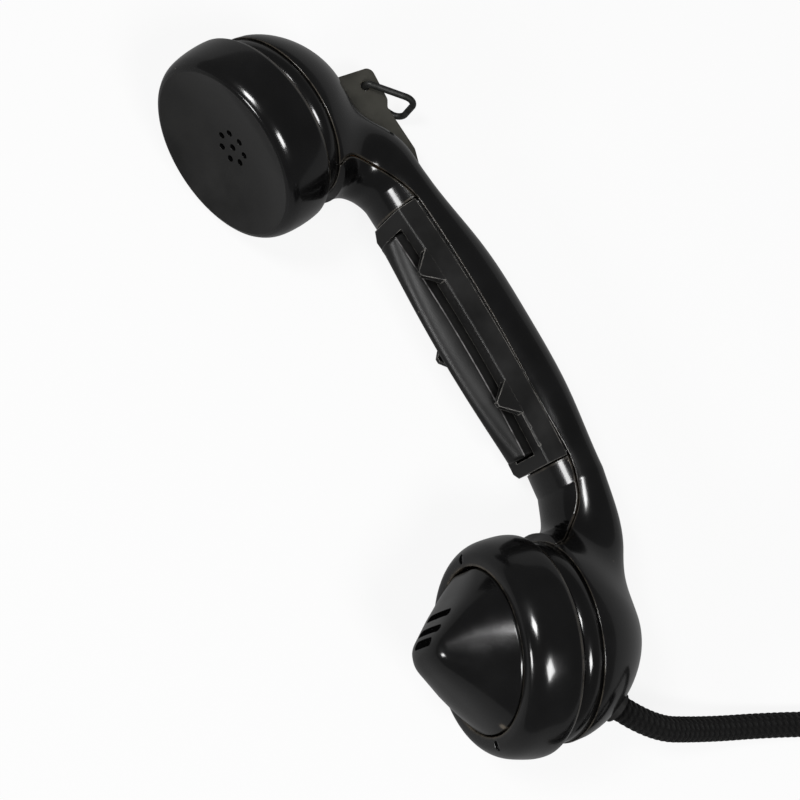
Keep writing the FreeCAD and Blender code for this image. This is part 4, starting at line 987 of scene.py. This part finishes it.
# %% Helpers for finishes
def new_finish(name):
    """Material with its node tree and its shader."""
    finish = bpy.data.materials.new(name)
    finish.use_nodes = True
    return finish, finish.node_tree, finish.node_tree.nodes["Principled BSDF"]


def set_even(shader, **sockets):
    """Sockets that have one value all over the surface, with _ for the spaces in their names."""
    for name, value in sockets.items():
        shader.inputs[name.replace("_", " ")].default_value = value


def node(tree, kind, links=(), **settings):
    """Node with its settings, and with sockets linked or set, each given as (socket, what goes in)."""
    made = tree.nodes.new("ShaderNode" + kind)
    for key, value in settings.items():
        setattr(made, key, value)
    for socket, value in dict(links).items():
        if isinstance(value, bpy.types.NodeSocket):
            tree.links.new(value, made.inputs[socket])
        else:
            made.inputs[socket].default_value = value
    return made


def noise(tree, scale, detail=3.0, stretch=(1, 1, 1), turn=(0, 0, 0)):
    """Cloudy value between about 0.3 and 0.7, on Object coordinates that are stretched and turned."""
    where = node(tree, "TexCoord").outputs["Object"]
    place = node(tree, "Mapping", {"Vector": where, "Scale": stretch, "Rotation": turn}).outputs[0]
    return node(tree, "TexNoise", {"Vector": place, "Scale": scale, "Detail": detail}).outputs[0]


def between(tree, value, low, high, to_low=0.0, to_high=1.0):
    """Value carried from one range to another, and kept within it."""
    return node(tree, "MapRange", {"Value": value, "From Min": low, "From Max": high, "To Min": to_low,
                                   "To Max": to_high}).outputs[0]


def times(tree, a, b=0.0, operation="MULTIPLY"):
    """Two values multiplied, or joined by another operation."""
    return node(tree, "Math", {0: a, 1: b}, operation=operation).outputs[0]


def plus(tree, a, b):
    """Two values added."""
    return times(tree, a, b, "ADD")


def shared(tree, share, low, high):
    """Number between two numbers."""
    return node(tree, "Mix", {"Factor": share, 2: low, 3: high}).outputs[0]


def mixed(tree, share, low, high):
    """Colour between two colours, each a triple or what another node gives."""
    low, high = ((*c, 1) if isinstance(c, tuple) else c for c in (low, high))
    return node(tree, "Mix", {"Factor": share, 6: low, 7: high}, data_type="RGBA").outputs[2]


def grain(tree, shader, height, depth, normal=None):
    """Bump from a height value, depth metres deep."""
    links = {"Height": height, "Distance": depth, "Strength": 1.0}
    if normal is not None:
        links["Normal"] = normal
    tree.links.new(node(tree, "Bump", links).outputs[0], shader.inputs["Normal"])


def even_finish(name, light, dark, rough, metal, patches, grains, depth, coat=0.0):
    """Finish of clouds between two colours and two roughnesses, with a fine grain."""
    finish, tree, shader = new_finish(name)
    cloud = between(tree, noise(tree, patches, 4.0), 0.35, 0.65)
    tree.links.new(mixed(tree, cloud, dark, light), shader.inputs["Base Color"])
    tree.links.new(between(tree, cloud, 0, 1, rough[1], rough[0]), shader.inputs["Roughness"])
    set_even(shader, Metallic=metal, Coat_Weight=coat)
    grain(tree, shader, noise(tree, grains), depth)
    return finish


print("helpers ready")

# %% [markdown]
# ## Black bakelite
#
# The handset is phenolic resin, moulded hot in a polished steel die. It is nearly black with a deep
# gloss, and use leaves hair scratches, dust and dull patches where hands wiped it. Where a thin lip
# stands out, the gloss is rubbed off and the brown filler shows as a fine line. On the key frame's edges
# and the edge of the key's crown a light grey is painted instead, as a highlight line. The hanging lug's
# paint is made in the same way, paler and duller.

# %% Black bakelite
RESIN_BLACK, DUST, WORN_BROWN = (0.0024, 0.0024, 0.0025), (0.30, 0.27, 0.22), (0.105, 0.088, 0.066)
# the two greys are painted highlight lines along edges: the key frame's rims and the key's crown edge
RIM_HIGHLIGHT_GREY, KEY_HIGHLIGHT_GREY = (0.36, 0.345, 0.32), (0.30, 0.29, 0.29)
CLOUD_LIGHTER, SCRATCHED, RUBBED = 1.9, 0.5, 0.42
BEND_RADIUS, RESIN_GRAIN = 0.00045, 0.000012


def scratches(tree):
    """Hair lines: noise stretched eighty times along one leaning direction, only its crests kept."""
    lines = noise(tree, 3200, 1.0, stretch=(0.012, 1, 1), turn=(0.3, 0.2, 0.9))
    return between(tree, times(tree, lines, noise(tree, 60, 2.0)), 0.38, 0.47)


def specks(tree, scale=260, size=0.07, share=0.06):
    """Dust: round dots of a cell noise, kept in a share of its cells."""
    where = node(tree, "TexCoord").outputs["Object"]
    cells = node(tree, "TexVoronoi", {"Vector": where, "Scale": scale})
    dot = between(tree, cells.outputs["Distance"], size, size * 0.6)
    red = node(tree, "SeparateColor", {0: cells.outputs["Color"]}).outputs[0]
    return times(tree, dot, between(tree, red, share, share * 0.8))


def bakelite(name, gloss, dull, coat, bends=False, body=RESIN_BLACK, wear_and_highlight_colour=WORN_BROWN, hair=0.16):
    """Near-black resin. Clouds of handling mix two roughnesses, scratches and dust lie over them, and
    the wear, with the painted edge highlights of the key and the frame, comes from the piece's own values or,
    with bends, from how sharply its surface bends."""
    finish, tree, shader = new_finish(name)
    cloud = between(tree, noise(tree, 70, 5.0), 0.36, 0.66)
    rough = between(tree, cloud, 0, 1, gloss, dull)
    rough = shared(tree, times(tree, scratches(tree), hair), rough, SCRATCHED)
    colour = mixed(tree, cloud, body, tuple(v * CLOUD_LIGHTER for v in body))
    colour = mixed(tree, times(tree, specks(tree), 0.55), colour, DUST)
    if bends:
        normal = node(tree, "Bevel", {"Radius": BEND_RADIUS}, samples=6).outputs[0]
        true = node(tree, "NewGeometry").outputs["Normal"]
        bent = node(tree, "VectorMath", {0: normal, 1: true}, operation="DOT_PRODUCT").outputs["Value"]
        wear_and_highlight = between(tree, bent, 0.995, 0.93)
    else:
        normal, wear_and_highlight = None, node(tree, "Attribute", attribute_name="wear_and_highlight").outputs["Fac"]
    # this mask carries the brown wear, and on the key and the frame a painted highlight line
    rubbed = times(tree, wear_and_highlight, between(tree, noise(tree, 260), 0.36, 0.56, 0.25, 1.0))
    tree.links.new(mixed(tree, times(tree, rubbed, 0.8), colour, wear_and_highlight_colour), shader.inputs["Base Color"])
    tree.links.new(shared(tree, rubbed, rough, RUBBED), shader.inputs["Roughness"])
    set_even(shader, Coat_Weight=coat, Coat_Roughness=0.07)
    grain(tree, shader, noise(tree, 240, 2.0), RESIN_GRAIN, normal)
    return finish


glossy_bakelite = bakelite("glossy_bakelite", 0.13, 0.21, 0.3)
rubbed_bakelite = bakelite("rubbed_bakelite", 0.30, 0.42, 0.1, body=(0.0056, 0.0055, 0.0053))
# the frame's sharply bent edges are painted light grey, a painted highlight along each edge
satin_bakelite = bakelite("satin_bakelite", 0.33, 0.46, 0.0, bends=True, body=(0.0052, 0.0051, 0.0050),
                          wear_and_highlight_colour=RIM_HIGHLIGHT_GREY)
# the key's painted highlight line along its crown edge is light grey
key_bakelite = bakelite("key_bakelite", 0.36, 0.42, 0.0, body=(0.0046, 0.0045, 0.0044), wear_and_highlight_colour=KEY_HIGHLIGHT_GREY,
                        hair=0.02)
plain_bakelite = bakelite("plain_bakelite", 0.17, 0.30, 0.3, bends=True)
painted_lug = bakelite("painted_lug", 0.42, 0.55, 0.0, bends=True, body=(0.032, 0.031, 0.026))
print("resin finishes", [finish.name for finish in (glossy_bakelite, rubbed_bakelite, satin_bakelite,
                                                    key_bakelite, plain_bakelite, painted_lug)])

# %% [markdown]
# ## Braid
#
# The cord's braid is black cotton and dull. Its grooves between the ribs are painted darker as shade, and its
# crests lighter. The pattern has to follow the cord round its bends, so it reads the cord's own map: along it
# in ribs, and round it.

# %% Braid
# the groove colour is painted shade between the ribs
STRANDS, BRAID_GROOVE_SHADE, BRAID_CREST = 11, (0.0012, 0.0012, 0.0013), (0.0080, 0.0077, 0.0074)
BRAID_RELIEF = 0.00035


def braid_finish():
    """Black thread: strands lean across each rib, with painted shade that makes it dark in the grooves and
    lighter on the crests.
    """
    finish, tree, shader = new_finish("black_braid")
    run = node(tree, "UVMap", uv_map="run").outputs[0]
    rib, around = node(tree, "SeparateXYZ", {0: run}).outputs[:2]
    turned_rib = times(tree, rib, 2 * pi)
    crest = times(tree, turned_rib, operation="COSINE")
    strand = times(tree, plus(tree, times(tree, around, 2 * pi * STRANDS), turned_rib), operation="SINE")
    height = plus(tree, times(tree, crest, 0.6), times(tree, strand, 0.5))
    fluff = noise(tree, 5200)
    share = between(tree, plus(tree, height, times(tree, fluff, 1.6)), 0.2, 1.7)
    # painted shade: darker where the rib's height is low, in the grooves
    tree.links.new(mixed(tree, share, BRAID_GROOVE_SHADE, BRAID_CREST), shader.inputs["Base Color"])
    set_even(shader, Roughness=0.85, Specular_IOR_Level=0.2, Sheen_Weight=0.03, Sheen_Roughness=0.5)
    grain(tree, shader, plus(tree, height, times(tree, fluff, 0.8)), BRAID_RELIEF)
    return finish


black_braid = braid_finish()
print("braid", black_braid.name)

# %% [markdown]
# ## Metals and small parts
#
# The wire ring is plain steel gone dull. Inside are nickelled springs, brass screws, a cobalt steel
# magnet, tinned cases, felt and carbon, each with the grain that it has up close.

# %% Metals and small parts
# light colour, dark colour, both roughnesses, metal, patches and grains per metre, grain in metres, coat
EVEN = {
    "dull_steel": ((0.060, 0.061, 0.060), (0.030, 0.031, 0.029), (0.46, 0.62), 0.7, 420, 2600, 0.00003),
    "nickel": ((0.62, 0.60, 0.55), (0.42, 0.40, 0.36), (0.25, 0.42), 1.0, 300, 2200, 0.00001),
    "brass": ((0.60, 0.44, 0.20), (0.36, 0.25, 0.11), (0.28, 0.48), 1.0, 300, 2200, 0.00001),
    "spring_steel": ((0.40, 0.41, 0.43), (0.22, 0.23, 0.25), (0.25, 0.40), 1.0, 200, 1800, 0.00001),
    "magnet_steel": ((0.20, 0.20, 0.21), (0.09, 0.09, 0.095), (0.40, 0.60), 1.0, 220, 1400, 0.00003),
    "japanned_iron": ((0.010, 0.009, 0.009), (0.005, 0.005, 0.005), (0.55, 0.75), 0.0, 120, 900, 0.00001),
    "tinned_case": ((0.52, 0.52, 0.51), (0.33, 0.33, 0.32), (0.30, 0.50), 1.0, 160, 1200, 0.00002),
    "enamelled_wire": ((0.23, 0.075, 0.022), (0.12, 0.035, 0.012), (0.25, 0.40), 0.2, 500, 3600, 0.00006,
                       0.3),
    "felt": ((0.20, 0.18, 0.15), (0.10, 0.09, 0.075), (0.90, 1.0), 0.0, 900, 5200, 0.0003),
    "rubber": ((0.020, 0.019, 0.018), (0.010, 0.010, 0.010), (0.65, 0.85), 0.0, 300, 2600, 0.00004),
    "pressed_fibre": ((0.13, 0.050, 0.026), (0.075, 0.028, 0.015), (0.45, 0.62), 0.0, 380, 3200, 0.00003),
    "carbon_block": ((0.035, 0.035, 0.037), (0.016, 0.016, 0.017), (0.40, 0.60), 0.0, 500, 3600, 0.00005),
    "carbon_grain": ((0.030, 0.030, 0.032), (0.008, 0.008, 0.009), (0.35, 0.70), 0.0, 3600, 4200, 0.0004),
    "wire_cotton": ((0.34, 0.15, 0.045), (0.20, 0.085, 0.030), (0.75, 0.92), 0.0, 900, 6000, 0.00012),
    "waxed_tape": ((0.055, 0.043, 0.030), (0.030, 0.024, 0.017), (0.62, 0.80), 0.0, 300, 4200, 0.00012),
}
finishes = {name: even_finish(name, *values) for name, values in EVEN.items()}
finishes |= {finish.name: finish for finish in (glossy_bakelite, satin_bakelite, plain_bakelite,
                                                painted_lug, black_braid)}
print("finishes", len(finishes))

# %% [markdown]
# ## Every piece gets its finish
#
# One list says which drawn pieces are made of what, and a second one does the same for the new pieces.
# A drawn piece that a new one stands in for keeps a finish too, because it is still part of the object.

# %% Every piece gets its finish
NODES_IN = {
    "satin_bakelite": ["key_frame"], "painted_lug": ["hanging_lug"], "dull_steel": ["hanging_ring"],
    "plain_bakelite": ["plug_body", "plug_ring"], "rubber": ["cord_gland", "mouthpiece_gasket"],
    "brass": ["key_frame_screws", "contact_screws", "ear_spring_screws", "mouth_spring_screws", "plug_pins"],
    "nickel": ["moving_contact_leaf", "fixed_contact_leaves", "ear_contact_springs", "mouth_contact_springs",
               "microphone_grille"],
    "spring_steel": ["key_pin", "key_spring"], "magnet_steel": ["receiver_magnet"],
    "japanned_iron": ["receiver_diaphragm", "microphone_diaphragm"],
    "tinned_case": ["receiver_case", "microphone_case"], "enamelled_wire": ["receiver_coils"],
    "felt": ["receiver_felt_ring"], "carbon_block": ["carbon_cup"], "carbon_grain": ["carbon_grain"],
    "pressed_fibre": ["contact_spacers", "plug_disc"], "wire_cotton": ["inner_wires"],
    "waxed_tape": ["cord_tie"], "black_braid": ["cord", "cord_coil", "cord_tail"],
    "glossy_bakelite": ["handle_body", "ear_neck_cover", "mouth_neck_cover", "talk_key", "ear_cap",
                        "mouth_ring", "mouthpiece"],
}
finish_of = {nodes[name]: finishes[kind] for kind, names in NODES_IN.items() for name in names}
finish_of |= {piece: glossy_bakelite for piece in (handle, ear_cover, mouth_cover, ear_cap, mouth_ring,
                                                   snout)}
finish_of |= {frame_piece: satin_bakelite, talk_key: key_bakelite, cord: black_braid,
              spring: finishes["spring_steel"], leaf: finishes["nickel"]}
for piece, finish in finish_of.items():
    piece.data.materials.clear()
    piece.data.materials.append(finish)
print("nodes without a finish", [name for name in nodes if nodes[name] not in finish_of])

# %% [markdown]
# ## Dull face of the ear cap
#
# The dish that lies at the ear has lost its gloss. A second finish on the dish's own faces keeps the cap
# one piece, and the faces are picked by how far they lie from the head's axis and along it.

# %% Dull face of the ear cap
DULL_R, DULL_N = 28.7, 10.5
ear_cap.data.materials.append(rubbed_bakelite)
upright = (numbers_of(ear_cap.data.polygons, "center") * 1000 - LIE_SHIFT) @ LIE_TURN - ear.centre
in_dish = (np.hypot(upright @ ear.across, upright[:, 2]) < DULL_R) & (upright @ ear.axis > DULL_N)
ear_cap.data.polygons.foreach_set("material_index", in_dish.astype(np.int32))
print("faces in the dish", int(in_dish.sum()))

# %% [markdown]
# ## Floor
#
# The floor is white paper. The camera sees most of it as plain white, so that it makes a clean ground,
# and the rest is lit paper, which keeps the shadow. Reflections see the paper too, but at a fifth of its
# light, as in a studio where the sheet is small and the room beyond it is dark.

# %% Floor
FLOOR_HALF, PAPER_COLOUR, PAPER_PLAIN, PAPER_MIRRORED = 3, (0.8, 0.8, 0.8, 1), 0.88, 0.22
floor = make_mesh("floor", FLOOR_HALF * np.array([[-1, -1, 0], [1, -1, 0], [1, 1, 0], [-1, 1, 0]]),
                  [[0, 1, 2, 3]], smooth=False)
paper, tree, shader = new_finish("paper")
set_even(shader, Base_Color=PAPER_COLOUR, Roughness=0.9)
path = node(tree, "LightPath")
camera_ray = path.outputs["Is Camera Ray"]
mirrored = plus(tree, path.outputs["Is Glossy Ray"], path.outputs["Is Transmission Ray"])
glow = node(tree, "Emission", {"Strength": between(tree, camera_ray, 0, 1, PAPER_MIRRORED, 1.0)})
share = plus(tree, times(tree, camera_ray, PAPER_PLAIN), mirrored)
ground = node(tree, "MixShader", {0: share, 1: shader.outputs[0], 2: glow.outputs[0]})
tree.links.new(ground.outputs[0], tree.nodes["Material Output"].inputs["Surface"])
floor.data.materials.append(paper)
print("floor", floor.name)

# %% [markdown]
# ## Light
#
# A black glossy piece shows its lamps, so three small soft boxes stand where their reflections fall on
# the caps' shoulders and the necks, and all else above is dim. Together they light a pale surface fully.

# %% Light
SKY_GREY, SKY_DIM, SKY_SEEN = (0.5, 0.5, 0.5, 1), 0.22, 2.0
world = bpy.data.worlds.new("studio")
scene.world = world
world.use_nodes = True
tree = world.node_tree
sky = tree.nodes["Background"]
sky.inputs["Color"].default_value = SKY_GREY
camera_ray = node(tree, "LightPath").outputs["Is Camera Ray"]
tree.links.new(between(tree, camera_ray, 0, 1, SKY_DIM, SKY_SEEN), sky.inputs["Strength"])


def softbox(name, bearing, height, distance, size, power):
    """Area lamp that faces the handset from a bearing and a height in degrees."""
    lamp = bpy.data.lights.new(name, "AREA")
    lamp.shape, lamp.energy = "RECTANGLE", power
    lamp.size, lamp.size_y = size
    bearing, height = radians(bearing), radians(height)
    back = np.array([cos(bearing) * cos(height), sin(bearing) * cos(height), sin(height)])
    level = unit(np.cross([0, 0, 1.0], back))
    return stand(name, lamp, level, np.cross(back, level), back, back * distance)


lamps = [softbox("right_light", 8, 60, 1.25, (0.34, 0.34), 7.2),
         softbox("left_light", -146, 66, 1.25, (0.26, 0.30), 6.0),
         softbox("front_light", -96, 32, 1.3, (0.22, 0.30), 4.0)]
scene.view_settings.view_transform = "Standard"
print("lamps", [lamp.name for lamp in lamps])
